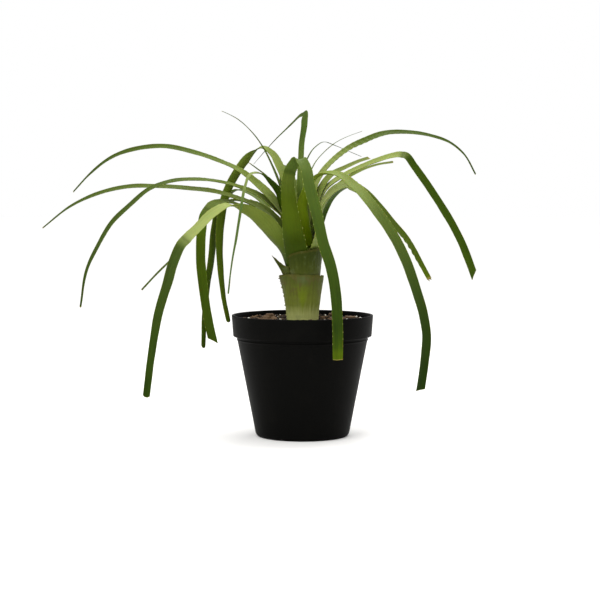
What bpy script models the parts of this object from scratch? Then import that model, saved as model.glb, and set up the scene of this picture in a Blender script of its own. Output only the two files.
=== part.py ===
# A potted bromeliad of the pineapple kind: toothed strap leaves round a short stem, in a plain nursery pot.
# Metres, +Z up. The origin is the centre of the pot's flat underside, and the front faces -Y.
import math

import bmesh
import bpy
import numpy as np

MM = 0.001
GAP = 0.3 * MM
MERGE = 0.05 * MM

# Pot, a usual 14 cm nursery pot
POT_HEIGHT = 120 * MM
RIM_RADIUS = 70 * MM
BAND_HEIGHT = 21 * MM
BAND_BOTTOM_RADIUS = 68.5 * MM
WALL_TOP_RADIUS = 64.5 * MM
BASE_RADIUS = 46.5 * MM
BASE_EDGE = 2.5 * MM
BASE_CHAMFER = 0.3
WALL = 1.6 * MM
RIM_LIP = 3 * MM
FLOOR = 2.4 * MM
RIM_EDGE = 0.9 * MM
LIP_HEIGHT = 2.5 * MM
BAND_STEP = 1.5 * MM
BAND_WALL = 2.6 * MM
WALL_BENDS_INSIDE = 1 * MM
WALL_BENDS_OUTSIDE = 2 * MM
DRAIN_HOLES = 6
DRAIN_RADIUS = 4.5 * MM
DRAIN_CIRCLE = 32 * MM
DRAIN_SIDES = 12
DRAIN_DEPTH = 4 * FLOOR
POT_STEPS = 48

# Soil and the bark on it
SOIL_TOP = 115 * MM
SOIL_RADIUS = 65 * MM
SOIL_NARROWS = 103 * MM
SOIL_STEPS = 32
BALL_SHOULDER = 3 * MM
BALL_EDGE = 2 * MM
COLLAR_BOTTOM = 109 * MM
COLLAR_BOTTOM_RADIUS = 16.2 * MM
COLLAR_TOP_RADIUS = 17.4 * MM
CHIP_COUNT = 9
CHIP_SIZE = (11 * MM, 7 * MM, 3.2 * MM)
CHIP_NEAREST = 33 * MM
CHIP_SPREAD = 22 * MM
CHIP_WORN = 0.8 * MM
CHIP_SIZES = (0.75, 1.1)
CHIP_SKEW = (0.8, 1.0)
CHIP_TURN = 0.35
CHIP_SEED = 40

# Stem: a pith core with the cut bases of old leaves round it
STEM_FOOT = 96 * MM
STEM_RADIUS = 12.6 * MM
STEM_SWELLS = 118 * MM
STEM_SHOULDER = 168 * MM
STEM_SHOULDER_RADIUS = 14.6 * MM
STEM_TIP = 219 * MM
STEM_TIP_RADIUS = 1.6 * MM
STEM_STEPS = 24
STEM_RINGS = 8

# Leaves
LEAF_THICKNESS = 0.9 * MM
LEAF_STATION = 14 * MM
FOOT_GAP = 0.5 * MM
CLASP = 78 * MM
TAPER_START = 0.55
CHANNEL = 0.3
BASE_CHANNEL = 0.5
CHANNEL_FLATTENS = (40 * MM, 120 * MM)
OLD_BASE_THICKNESS = 1.1 * MM
TORN_WIDTH = 0.11
NEAREST_AXIS = 3 * MM

COLOURS = {
    "pot_plastic": ((0.006, 0.006, 0.007), 0.42),
    "potting_soil": ((0.030, 0.018, 0.010), 0.95),
    "bark": ((0.240, 0.120, 0.055), 0.85),
    "stem_flesh": ((0.300, 0.320, 0.120), 0.60),
    "old_leaf_base": ((0.130, 0.150, 0.040), 0.62),
    "leaf_green": ((0.070, 0.130, 0.015), 0.40),
    "leaf_pale": ((0.160, 0.220, 0.045), 0.42),
}


# Each leaf: foot is its bearing round the stem in degrees and its height on the stem, route is a list of
# points that the midrib passes (right, back and up, in mm), heading is the bearing of the outer half,
# wide is half of the width at the base, along the strap and at the tip, turn tips the upper face towards
# the front, as (share of the length, degrees), clasp is the length in mm over which the base opens out, and
# taper is the share of the length at which the leaf starts to narrow.
LEAVES = {
    "leaf_front_folded": dict(
        foot=(250, 157.5), heading=272, wide=(13.5, 5.7, 5.2), hue="leaf_green", clasp=118,
        route=((-6.5, -18.5, 178), (-8, -21.5, 189), (-10, -29, 203), (-12, -30.5, 218),
               (-13.5, -33, 234), (-14, -36.5, 250), (-11, -41, 263), (-3, -48, 272), (3, -57, 263),
               (7, -63, 244), (13, -68, 222), (19, -72, 195), (27, -76, 169), (31, -79, 146),
               (33, -81, 113), (33, -82, 83))),
    "leaf_left_kinked": dict(
        foot=(197, 166.5), heading=210, wide=(15, 5.2, 3.6),
        turn=((0, 0), (0.07, -15), (0.16, -45), (0.25, -50), (0.32, 20), (0.38, 45), (1, 55)),
        hue="leaf_pale", clasp=98,
        route=((-19, -7.5, 182.5), (-27, -10.5, 197), (-36, -15.5, 209.5), (-47, -24, 219),
               (-58, -32, 225), (-70, -40, 228), (-85, -50, 221), (-101, -60, 205), (-114, -66, 192),
               (-121, -69, 177), (-127, -72, 156), (-136, -76, 125), (-142, -80, 89), (-147, -84, 48))),
    "leaf_left_trimmed": dict(
        foot=(188, 172.5), heading=205, wide=(9, 5.2, 4.6),
        turn=((0, 0), (0.08, -15), (0.2, -35), (0.3, 0), (0.45, 40), (1, 62)), hue="leaf_green",
        clasp=85,
        route=((-27, -6, 201), (-39, -8, 215.5), (-56, -9.5, 225.5), (-74, -18.5, 231), (-88, -26, 228),
               (-94, -30, 220), (-97, -32, 204), (-98, -33, 180), (-96, -34, 153), (-92, -35, 123),
               (-86, -36, 94))),
    "leaf_left_behind": dict(
        foot=(136, 180), heading=165, wide=(7.5, 4.4, 2.6),
        turn=((0, 0), (0.06, 30), (0.25, 35), (0.45, -30), (1, -50)), hue="leaf_green",
        route=((-24, 15.5, 209), (-38, 18, 223), (-56, 22, 231), (-72, 23.5, 232), (-82, 22, 225),
               (-87, 20, 207), (-90, 19, 178), (-95, 18, 144), (-98, 18, 114), (-99, 18, 85))),
    "leaf_left_high_fold": dict(
        foot=(162, 206.5), heading=172, wide=(6.5, 4.8, 2.4),
        turn=((0, 0), (0.06, 45), (0.25, 55), (0.35, 0), (0.4, -58), (1, -62)), hue="leaf_pale",
        route=((-9, 6.5, 229), (-15, 9, 247), (-22, 12, 264), (-30, 18, 278), (-41, 18, 285),
               (-53, 18, 276), (-65, 15, 260), (-75, 12, 240), (-80, 10, 218), (-82, 8, 189),
               (-80, 6, 154), (-77, 5, 131), (-73, 4, 112))),
    "leaf_left_thread": dict(
        foot=(163, 175.5), heading=200, wide=(2.5, 2.2, 1.6), turn=((0, 0), (0.45, 10), (1, 20)),
        hue="leaf_green",
        route=((-31, 3, 206), (-45, 3, 218), (-61, -3, 226), (-79, -10, 226), (-92, -15, 215),
               (-103, -18, 202), (-116, -20, 187), (-129, -23, 174), (-143, -26, 160),
               (-156, -30, 146))),
    "leaf_front_hanging": dict(
        foot=(194, 200), heading=222, wide=(7.5, 1.6, 0.8),
        turn=((0, 0), (0.1, -20), (0.2, -35), (0.3, -20), (0.38, 20), (1, 30)), hue="leaf_green",
        clasp=105,
        route=((-18, -13.5, 225), (-22.5, -11, 239), (-31, -19, 250.5), (-41, -26, 259),
               (-50, -33.5, 258), (-55, -40.5, 246), (-59, -44, 224), (-63, -48, 199), (-67, -51, 176),
               (-71, -56, 144))),
    "leaf_left_stub": dict(
        foot=(188, 202), heading=190, wide=(4, 2.8, 1.4), turn=((0, 0), (0.45, 10), (1, 20)),
        hue="leaf_green", clasp=50,
        route=((-19, -5, 229), (-27, -5, 246), (-36, -6, 257), (-45, -7, 264), (-53, -8, 270))),
    "leaf_left_whip": dict(
        foot=(187, 204), heading=184, wide=(5.5, 2.8, 0.5), turn=((0, 0), (0.45, 25), (1, 30)),
        hue="leaf_green", taper=0.15,
        route=((-17, -1.5, 231), (-24, -3, 252), (-31, -4, 269), (-39, -5, 285), (-50, -6, 300),
               (-63, -7, 312), (-72, -8, 317), (-79, -9, 320))),
    "leaf_left_upper": dict(
        foot=(204, 194.5), heading=165, wide=(12, 4, 1.5),
        turn=((0, 0), (0.08, 28), (0.2, 34), (0.35, 22), (0.6, 35), (1, 45)), hue="leaf_pale", clasp=98,
        taper=0.7,
        route=((-21, -5.5, 221), (-33, -8, 237), (-46, -5.5, 249.5), (-62, -5, 262), (-84, 0.5, 272),
               (-108, 8, 280), (-137, 18, 286), (-165, 27, 284), (-193, 37, 275), (-215, 45, 259),
               (-233, 52, 241))),
    "leaf_left_middle": dict(
        foot=(200, 184), heading=198, wide=(12.5, 3.7, 1.5),
        turn=((0, 0), (0.08, 28), (0.2, 34), (0.35, 22), (1, 30)), hue="leaf_green", clasp=98,
        taper=0.7,
        route=((-21.5, -4, 219), (-31, -11, 227.5), (-44, -11, 238), (-60, -13, 245), (-82, -15, 251),
               (-105, -24, 253), (-127, -33, 251), (-146, -41, 244), (-164, -48, 229), (-181, -54, 212),
               (-194, -60, 190), (-204, -65, 168), (-210, -70, 132))),
    "leaf_left_lower": dict(
        foot=(213, 177.5), heading=187, wide=(10, 4.2, 1.5),
        turn=((0, 0), (0.1, 25), (0.3, 28), (0.45, 28), (1, 25)), hue="leaf_pale", clasp=98, taper=0.7,
        route=((-15.5, -8, 187.5), (-28, -0.5, 211), (-45, -5, 226), (-65, -13.5, 235), (-85, -18, 241),
               (-109, -20.5, 244), (-138, -20, 246), (-167, -20, 246), (-196, -22, 240),
               (-225, -24, 227), (-252, -27, 206))),
    "leaf_tall_folded": dict(
        foot=(109, 215.5), heading=105, wide=(3.6, 3.3, 0.8),
        turn=((0, 0), (0.5, 0), (0.6, 68), (1, 72)), hue="leaf_green",
        route=((-3, 2, 243), (-2, 6, 267), (-1, 8, 290), (2, 8, 310), (3, 13, 319), (-1, 16, 317),
               (-11, 20, 308), (-29, 26, 291), (-40, 30, 279), (-49, 33, 269))),
    "leaf_right_cascade": dict(
        foot=(288, 187.5), heading=318, wide=(9, 6, 5.2), turn=((0, 0), (0.45, 24), (1, 16)),
        hue="leaf_green",
        route=((1.5, -15.5, 213), (2, -12.5, 231), (7, -15, 246), (17, -19, 257), (32, -27, 258),
               (49, -37, 247), (66, -50, 228), (82, -62, 205), (96, -73, 178), (105, -82, 152),
               (112, -89, 127), (115, -92, 107), (113, -94, 83), (109, -96, 55))),
    "leaf_right_crimped": dict(
        foot=(326, 171.5), heading=345, wide=(14, 5.4, 2.8),
        turn=((0, 0), (0.1, 20), (0.2, 30), (0.35, 35), (0.6, 30), (1, 48)), hue="leaf_pale", clasp=155,
        route=((15, -7, 186), (17, -20, 205.5), (20, -14, 224), (26, -14, 236), (34, -17, 244),
               (44, -14, 247), (56, -15, 242), (72, -16, 228), (88, -19, 210), (101, -22, 195),
               (108, -24, 184), (114, -26, 173), (124, -30, 155))),
    "leaf_right_arch": dict(
        foot=(46, 201), heading=22, wide=(6.5, 4.6, 1.6), turn=((0, 0), (0.45, 30), (0.7, 30), (1, 55)),
        hue="leaf_green",
        route=((8, 8, 230), (13, 12, 247), (21, 16, 261), (31, 21, 272), (46, 27, 284), (62, 33, 292),
               (80, 39, 299), (105, 47, 301), (130, 55, 298), (151, 61, 291), (165, 66, 280),
               (178, 71, 259))),
    "leaf_right_back_thread": dict(
        foot=(105, 211.5), heading=40, wide=(1, 1, 0.5), hue="leaf_green",
        route=((-1, 8.5, 243), (2, 15, 266), (7, 18, 278), (12, 24, 285), (21, 29, 291), (32, 36, 288),
               (45, 44, 283), (60, 52, 277))),
    "leaf_right_hair": dict(
        foot=(36, 208), heading=35, wide=(1.7, 0.8, 0.45), hue="leaf_green",
        route=((4, 5, 238), (7, 9, 257), (12, 13, 269), (22, 18, 281), (36, 24, 292), (49, 29, 298),
               (60, 34, 302))),
    "leaf_right_kinked": dict(
        foot=(2, 182), heading=-15, wide=(8, 4.4, 4.2),
        turn=((0, 0), (0.1, 20), (0.3, 30), (0.45, 35), (0.55, 50), (1, 58)), hue="leaf_pale",
        clasp=115,
        route=((15, 9, 224), (24, 6.5, 244), (41, 1, 257), (57, -2, 265), (72, -7.5, 271),
               (88, -13.5, 276), (99, -17, 277), (108, -20, 266), (118, -23, 252), (130, -26, 234),
               (141, -29, 216), (154, -32, 191), (167, -36, 157))),
    "leaf_right_sliver": dict(
        foot=(335, 198.5), heading=345, wide=(2, 2.4, 1.6),
        turn=((0, 0), (0.35, 20), (0.6, 45), (1, 45)), hue="leaf_pale", clasp=60,
        route=((16.5, -1.5, 222), (26, 0, 240), (40, -6.5, 252), (55, -13, 261), (71, -19, 267),
               (88, -25, 270))),
    "leaf_right_short": dict(
        foot=(30, 195), heading=5, wide=(6, 3.4, 2.2), turn=((0, 0), (0.35, 25), (0.6, 45), (1, 45)),
        hue="leaf_pale", clasp=90,
        route=((12, 9.5, 225), (19, 10, 245), (29, 10, 258), (42, 9, 265), (55, 9, 271), (67, 9, 275))),
    "leaf_back_long": dict(
        foot=(96, 167), heading=93, wide=(10, 5, 1.4), hue="leaf_green",
        route=((-4, 30, 197), (-5, 46, 223), (-7, 66, 244), (-9, 90, 253), (-11, 114, 248),
               (-12, 134, 231), (-12, 149, 205), (-11, 159, 173), (-9, 165, 137), (-8, 168, 101))),
    "leaf_back_left": dict(
        foot=(122, 175), heading=128, wide=(7.5, 3.6, 2.8), hue="leaf_pale",
        route=((-17, 20.5, 198), (-29, 36, 215), (-41, 52, 230), (-54, 68, 239), (-68, 83.5, 243),
               (-79, 96, 235), (-85, 101, 215), (-87, 103, 185), (-85, 103, 149), (-82, 102, 125))),
    "leaf_back_right": dict(
        foot=(56, 174), heading=60, wide=(9.5, 4.6, 3.8), hue="leaf_green",
        route=((14, 22, 201), (22, 37, 220), (31, 53, 235), (41, 68, 243.5), (52, 84, 247.5))),
    "leaf_back_inner": dict(
        foot=(105, 184), heading=100, wide=(8, 4.2, 0.8), hue="leaf_pale",
        route=((-7, 19.5, 219), (-9, 35, 242), (-12, 48, 258), (-15, 64, 267), (-18, 85, 267),
               (-20, 106, 259), (-21, 124, 241), (-22, 138, 215), (-22, 147, 186))),
    "leaf_back_upright": dict(
        foot=(72, 187), heading=86, wide=(6.5, 3.8, 0.8), hue="leaf_green",
        route=((3, 17.5, 228), (3, 29, 248), (3, 41, 261), (3, 58, 267), (3, 77, 265), (4, 98, 255),
               (5, 117, 237), (6, 132, 214))),
}

# The cut bases of old leaves: bearing of the middle, half of the angle that each one wraps, the radius and
# height of its foot and of its top, how far the cut rises from its left end to its right end, how far the
# cut drops at the ends, how far the left corner flares, how late the base swells, where a torn point
# stands on the cut (its place across, how far out and how far up), and how far the front bulges.
OLD_BASES = {
    "old_base_lower": dict(
        bearing=280, wrap=96, foot=(15, 109.6), top=(21.4, 161), rise=-1, drop=3, flare=2.6, swell=1.4,
        point=(0, 0, 0)),
    "old_base_rear": dict(
        bearing=98, wrap=91, foot=(13.5, 110), top=(19.4, 158), rise=2, drop=5, flare=0, swell=1.3,
        point=(0, 0, 0)),
    "old_base_middle": dict(
        bearing=305, wrap=74, foot=(14.2, 130), top=(19.9, 186), rise=3.5, drop=3, flare=0, swell=1,
        point=(0, 0, 0), bulge=3.6),
    "old_base_left": dict(
        bearing=179, wrap=48, foot=(14.2, 130), top=(20.3, 169), rise=2, drop=3, flare=0, swell=1.6,
        point=(0.375, 11, 9.5)),
}


def clear_scene():
    for obj in list(bpy.data.objects):
        bpy.data.objects.remove(obj)


def collection(name):
    made = bpy.data.collections.new(name)
    bpy.context.scene.collection.children.link(made)
    return made


def material(name):
    colour, roughness = COLOURS[name]
    made = bpy.data.materials.get(name) or bpy.data.materials.new(name)
    made.use_nodes = True
    shader = made.node_tree.nodes["Principled BSDF"]
    shader.inputs["Base Color"].default_value = (*colour, 1)
    shader.inputs["Roughness"].default_value = roughness
    shader.inputs["Metallic"].default_value = 0
    return made


def add_object(name, mesh, finish, into):
    obj = bpy.data.objects.new(name, mesh)
    into.objects.link(obj)
    if finish:
        mesh.materials.append(material(finish))
    return obj


def turned(name, profile, steps, finish, into):
    """A solid turned about the upright axis from its outline, which runs down the outer side."""
    mesh = bpy.data.meshes.new(name)
    points = [(radius, 0, height) for radius, height in profile]
    mesh.from_pydata(points, [(i, i + 1) for i in range(len(points) - 1)], [])
    obj = add_object(name, mesh, finish, into)
    screw = obj.modifiers.new("turn", "SCREW")
    screw.steps = steps
    screw.render_steps = steps
    screw.use_merge_vertices = True
    screw.merge_threshold = MERGE
    screw.use_smooth_shade = True
    return obj


def strip(name, grid, thickness, finish, into):
    """A thin solid from a grid of points (stations, points across, 3)."""
    rows, across = grid.shape[:2]
    mesh = bpy.data.meshes.new(name)
    first = np.arange(rows - 1)[:, None] * across + np.arange(across - 1)
    faces = np.stack([first, first + 1, first + across + 1, first + across], axis=-1)
    mesh.from_pydata(grid.reshape(-1, 3).tolist(), [], faces.reshape(-1, 4).tolist())
    mesh.shade_smooth()
    obj = add_object(name, mesh, finish, into)
    wall = obj.modifiers.new("thickness", "SOLIDIFY")
    wall.thickness = thickness
    wall.offset = 0
    return obj


def smooth(x):
    x = np.clip(x, 0, 1)
    return x * x * (3 - 2 * x)


def unit(vectors):
    return vectors / np.linalg.norm(vectors, axis=-1, keepdims=True)


def curve_through(points, samples=24):
    """A smooth line through the points: cubic spans whose slopes come from the neighbouring points."""
    points = np.asarray(points, float)
    steps = np.linalg.norm(np.diff(points, axis=0), axis=1)
    at = np.concatenate([[0], np.cumsum(steps)])
    slopes = np.gradient(points, at, axis=0, edge_order=1)
    t = np.linspace(0, 1, samples, endpoint=False)[None, :, None]
    start, end = points[:-1, None], points[1:, None]
    span = steps[:, None, None]
    line = (
        (2 * t**3 - 3 * t**2 + 1) * start
        + (t**3 - 2 * t**2 + t) * span * slopes[:-1, None]
        + (3 * t**2 - 2 * t**3) * end
        + (t**3 - t**2) * span * slopes[1:, None]
    )
    return np.vstack([line.reshape(-1, 3), points[-1]])


def even_steps(line, step, fewest=7):
    """The line again with points at equal steps along it, and how far along each point is."""
    along = np.concatenate([[0], np.cumsum(np.linalg.norm(np.diff(line, axis=0), axis=1))])
    count = max(fewest, int(round(along[-1] / step)) + 1)
    where = np.linspace(0, along[-1], count)
    return np.stack([np.interp(where, along, line[:, i]) for i in range(3)], axis=1), where


def stem_radius(height):
    taper = smooth((height - STEM_SHOULDER) / (STEM_TIP - STEM_SHOULDER))
    return STEM_SHOULDER_RADIUS + (STEM_TIP_RADIUS - STEM_SHOULDER_RADIUS) * taper


def leaf_grid(leaf, across=5):
    """Stations along the midrib, each an arc round the stem at the foot that flattens to a channel."""
    bearing, height = math.radians(leaf["foot"][0]), leaf["foot"][1] * MM
    radius = stem_radius(height) + LEAF_THICKNESS / 2 + FOOT_GAP
    foot = (radius * math.cos(bearing), radius * math.sin(bearing), height)
    route = np.vstack([foot, np.array(leaf["route"]) * MM])
    mid, along = even_steps(curve_through(route), LEAF_STATION)
    share = along / along[-1]
    opened = smooth(along / (leaf.get("clasp", CLASP / MM) * MM))

    base, strap, tip = (value * MM for value in leaf["wide"])
    half = strap + (base - strap) * (1 - opened)
    start = leaf.get("taper", TAPER_START)
    half *= 1 - (1 - tip / strap) * smooth((share - start) / (1 - start))

    heading = bearing + (math.radians(leaf["heading"]) - bearing) * opened
    ahead = unit(np.gradient(mid, axis=0))
    side = np.stack([-np.sin(heading), np.cos(heading), np.zeros_like(heading)], axis=1)
    side = unit(side - ahead * np.sum(side * ahead, axis=1, keepdims=True))
    upper = np.cross(ahead, side)
    turns = leaf.get("turn", ((0, 0), (1, 0)))
    turn = np.radians(np.interp(share, [stop[0] for stop in turns], [stop[1] for stop in turns]))
    turn *= math.copysign(1, math.cos(math.radians(leaf["heading"])))
    cos, sin = np.cos(turn)[:, None], np.sin(turn)[:, None]
    side, upper = side * cos + upper * sin, upper * cos - side * sin

    reach = np.hypot(mid[:, 0], mid[:, 1])
    curl = (1 - opened) * np.abs(ahead[:, 2]) / np.maximum(reach, NEAREST_AXIS)
    first, last = CHANNEL_FLATTENS
    channel = BASE_CHANNEL + (CHANNEL - BASE_CHANNEL) * smooth((along - first) / (last - first))
    curl = curl + opened * 2 * channel / half
    v = np.linspace(-1, 1, across)
    angle = v * (half * curl)[:, None]
    sideways = np.sin(angle) / curl[:, None]
    lift = (1 - np.cos(angle)) / curl[:, None]
    return mid[:, None] + side[:, None] * sideways[..., None] + upper[:, None] * lift[..., None]


def old_base_grid(base, rows=7, columns=17):
    """A slice of a cone round the stem, cut aslant at the top, with a torn point on some."""
    across = np.linspace(-1, 1, columns)
    angle = np.radians(base["bearing"] + base["wrap"] * across)
    up = np.linspace(0, 1, rows)[:, None]
    foot_radius, foot_height = base["foot"]
    top_radius, top_height = base["top"]
    cut = top_height + base["rise"] * across - base["drop"] * across**4
    height = foot_height + (cut - foot_height) * up
    share = (height - foot_height) / (top_height - foot_height)
    radius = foot_radius + (top_radius - foot_radius) * share ** base["swell"]
    radius = radius + base["flare"] * np.clip(-across, 0, 1) ** 6 * up**3
    forward = np.clip(-np.sin(angle), 0, 1)
    radius = radius + base.get("bulge", 0) * forward**2 * up
    place, out, lift = base["point"]
    torn = np.exp(-(((across - place) / TORN_WIDTH) ** 2)) * up**5
    radius, height = radius + out * torn, height + lift * torn
    return np.stack([radius * np.cos(angle), radius * np.sin(angle), height], axis=-1) * MM


def pot(into, cutters):
    """A tapered pot with a rim band, turned in one piece, with drain holes through its floor."""
    foot = BASE_RADIUS - BASE_EDGE
    band_bottom = POT_HEIGHT - BAND_HEIGHT
    wall_top = band_bottom - BAND_STEP
    inner_base = BASE_RADIUS - WALL
    lip = RIM_RADIUS - RIM_LIP
    profile = [
        (0, FLOOR),
        (inner_base - WALL, FLOOR),
        (inner_base, FLOOR + WALL),
        (WALL_TOP_RADIUS - WALL, wall_top - WALL_BENDS_INSIDE),
        (BAND_BOTTOM_RADIUS - BAND_WALL, wall_top + LIP_HEIGHT),
        (lip, POT_HEIGHT - LIP_HEIGHT),
        (lip + RIM_EDGE / 2, POT_HEIGHT - RIM_EDGE / 2),
        (lip + RIM_EDGE, POT_HEIGHT),
        (RIM_RADIUS - RIM_EDGE, POT_HEIGHT),
        (RIM_RADIUS, POT_HEIGHT - RIM_EDGE),
        (BAND_BOTTOM_RADIUS, band_bottom),
        (WALL_TOP_RADIUS + BAND_STEP / 2, band_bottom - BAND_STEP / 2),
        (WALL_TOP_RADIUS, wall_top - WALL_BENDS_OUTSIDE),
        (BASE_RADIUS, BASE_EDGE),
        (BASE_RADIUS - BASE_CHAMFER * BASE_EDGE, BASE_CHAMFER * BASE_EDGE),
        (foot, 0),
        (0, 0),
    ]
    body = turned("pot", profile, POT_STEPS, "pot_plastic", into)
    for i in range(DRAIN_HOLES):
        angle = 2 * math.pi * (i + 0.5) / DRAIN_HOLES
        mesh = bpy.data.meshes.new("drain_cutter")
        shape = bmesh.new()
        bmesh.ops.create_cone(
            shape, cap_ends=True, segments=DRAIN_SIDES, radius1=DRAIN_RADIUS, radius2=DRAIN_RADIUS,
            depth=DRAIN_DEPTH,
        )
        shape.to_mesh(mesh)
        shape.free()
        cutter = add_object(f"drain_cutter_{i + 1}", mesh, None, cutters)
        cutter.location = (DRAIN_CIRCLE * math.cos(angle), DRAIN_CIRCLE * math.sin(angle), 0)
        cutter.hide_render = True
        cutter.display_type = "WIRE"
        hole = body.modifiers.new(f"drain_{i + 1}", "BOOLEAN")
        hole.object = cutter
        hole.solver = "EXACT"
    return body


def soil(into):
    """The root ball and the mix round it, with a socket that the stem stands in."""
    socket = STEM_RADIUS + GAP
    ball_top = WALL_TOP_RADIUS - WALL - GAP
    ball_bottom = BASE_RADIUS - WALL - GAP
    profile = [
        (0, STEM_FOOT - GAP),
        (socket, STEM_FOOT - GAP),
        (socket, COLLAR_BOTTOM),
        (COLLAR_BOTTOM_RADIUS, COLLAR_BOTTOM),
        (COLLAR_TOP_RADIUS, SOIL_TOP),
        (SOIL_RADIUS, SOIL_TOP),
        (SOIL_RADIUS, SOIL_NARROWS),
        (ball_top, POT_HEIGHT - BAND_HEIGHT - BALL_SHOULDER),
        (ball_bottom, FLOOR + GAP + BALL_EDGE),
        (ball_bottom - BALL_EDGE, FLOOR + GAP),
        (0, FLOOR + GAP),
    ]
    return turned("soil", profile, SOIL_STEPS, "potting_soil", into)


def stem(into):
    heights = np.linspace(STEM_SHOULDER, STEM_TIP, STEM_RINGS)
    profile = [(0, STEM_TIP)]
    profile += [(float(stem_radius(h)), float(h)) for h in heights[::-1]]
    profile += [(STEM_RADIUS, STEM_SWELLS), (STEM_RADIUS, STEM_FOOT), (0, STEM_FOOT)]
    return turned("stem", profile, STEM_STEPS, "stem_flesh", into)


def bark_chip(index, into):
    """A rounded, slightly skewed block that lies on the soil."""
    chance = np.random.default_rng(CHIP_SEED + index)
    angle = 2 * math.pi * (index + CHIP_TURN) / CHIP_COUNT
    distance = CHIP_NEAREST + CHIP_SPREAD * chance.random()
    size = np.array(CHIP_SIZE) * chance.uniform(*CHIP_SIZES, 3)
    mesh = bpy.data.meshes.new("bark_chip")
    shape = bmesh.new()
    bmesh.ops.create_cube(shape, size=1)
    for vert in shape.verts:
        skew = chance.uniform(*CHIP_SKEW, 3)
        vert.co = [vert.co[i] * size[i] * skew[i] for i in range(3)]
    shape.to_mesh(mesh)
    shape.free()
    chip = add_object(f"bark_chip_{index + 1}", mesh, "bark", into)
    lies_at = SOIL_TOP + GAP + size[2] / 2
    chip.location = (distance * math.cos(angle), distance * math.sin(angle), lies_at)
    chip.rotation_euler = (0, 0, chance.uniform(0, math.pi))
    bevel = chip.modifiers.new("worn_edges", "BEVEL")
    bevel.width = CHIP_WORN
    bevel.segments = 1
    return chip


def build():
    clear_scene()
    parts = collection("potted_bromeliad")
    cutters = collection("cutters")
    pot(parts, cutters)
    soil(parts)
    stem(parts)
    for name, base in OLD_BASES.items():
        strip(name, old_base_grid(base), OLD_BASE_THICKNESS, "old_leaf_base", parts)
    for name, leaf in LEAVES.items():
        strip(name, leaf_grid(leaf), LEAF_THICKNESS, leaf["hue"], parts)
    for i in range(CHIP_COUNT):
        bark_chip(i, parts)


build()
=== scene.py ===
# A potted bromeliad of the pineapple kind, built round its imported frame. Metres, +Z up, front towards -Y.
import math

import bmesh
import bpy
import numpy as np
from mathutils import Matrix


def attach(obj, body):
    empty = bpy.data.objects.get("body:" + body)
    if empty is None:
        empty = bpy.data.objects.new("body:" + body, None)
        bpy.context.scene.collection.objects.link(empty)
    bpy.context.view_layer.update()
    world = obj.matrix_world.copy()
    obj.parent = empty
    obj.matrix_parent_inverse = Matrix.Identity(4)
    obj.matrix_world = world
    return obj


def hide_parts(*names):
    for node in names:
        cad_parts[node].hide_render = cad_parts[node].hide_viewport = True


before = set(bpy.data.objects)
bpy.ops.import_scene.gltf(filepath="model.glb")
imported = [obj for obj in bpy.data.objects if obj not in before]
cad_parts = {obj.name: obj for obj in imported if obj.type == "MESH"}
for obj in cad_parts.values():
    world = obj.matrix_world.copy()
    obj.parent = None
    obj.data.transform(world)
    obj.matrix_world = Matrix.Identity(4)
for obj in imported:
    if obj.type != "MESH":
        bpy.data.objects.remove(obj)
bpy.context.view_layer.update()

mm = 0.001
gap = 0.3 * mm
degreesPerRadian = 57.3


def report(words):
    print("[plant]", words)


def tone(red, green, blue):
    # a colour as it looks on a screen, 0 to 255, turned into linear light
    levels = np.array([red, green, blue]) / 255
    linear = np.where(levels <= 0.04045, levels / 12.92, ((levels + 0.055) / 1.055) ** 2.4)
    return tuple(float(level) for level in linear)


def smooth(x):
    # 0 below 0, 1 above 1, and 3x^2 - 2x^3 between them
    x = np.clip(x, 0, 1)
    return x * x * (3 - 2 * x)


def bell(x, centre, width):
    # 1 at the centre, falling away as exp of minus the squared distance in widths
    return np.exp(-(((x - centre) / width) ** 2))


def unit(vectors):
    return vectors / np.linalg.norm(vectors, axis=-1, keepdims=True)


def wander(x, chance, pitch, waves=4):
    # a slow irregular line: a few sines of unlike lengths, about -1 to 1
    total = np.zeros_like(x)
    for i in range(waves):
        total += np.sin(2 * math.pi * x / (pitch * (0.6 + 0.55 * i)) + chance.uniform(0, 2 * math.pi))
    return total / waves


# Camera

cameraFacts = {
    "place": (-2.4 * mm, -1600 * mm, 240.4 * mm),
    "lookDown": 3.785,
    "lens": 97.24,
    "sensor": 36,
}


def makeCamera():
    data = bpy.data.cameras.new("photoCamera")
    data.lens = cameraFacts["lens"]
    data.sensor_width = cameraFacts["sensor"]
    camera = bpy.data.objects.new("photoCamera", data)
    camera.location = cameraFacts["place"]
    camera.rotation_euler = (math.radians(90 - cameraFacts["lookDown"]), 0, 0)
    bpy.context.scene.collection.objects.link(camera)
    bpy.context.scene.camera = camera


makeCamera()
report("camera set")


# Shader maths

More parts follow.
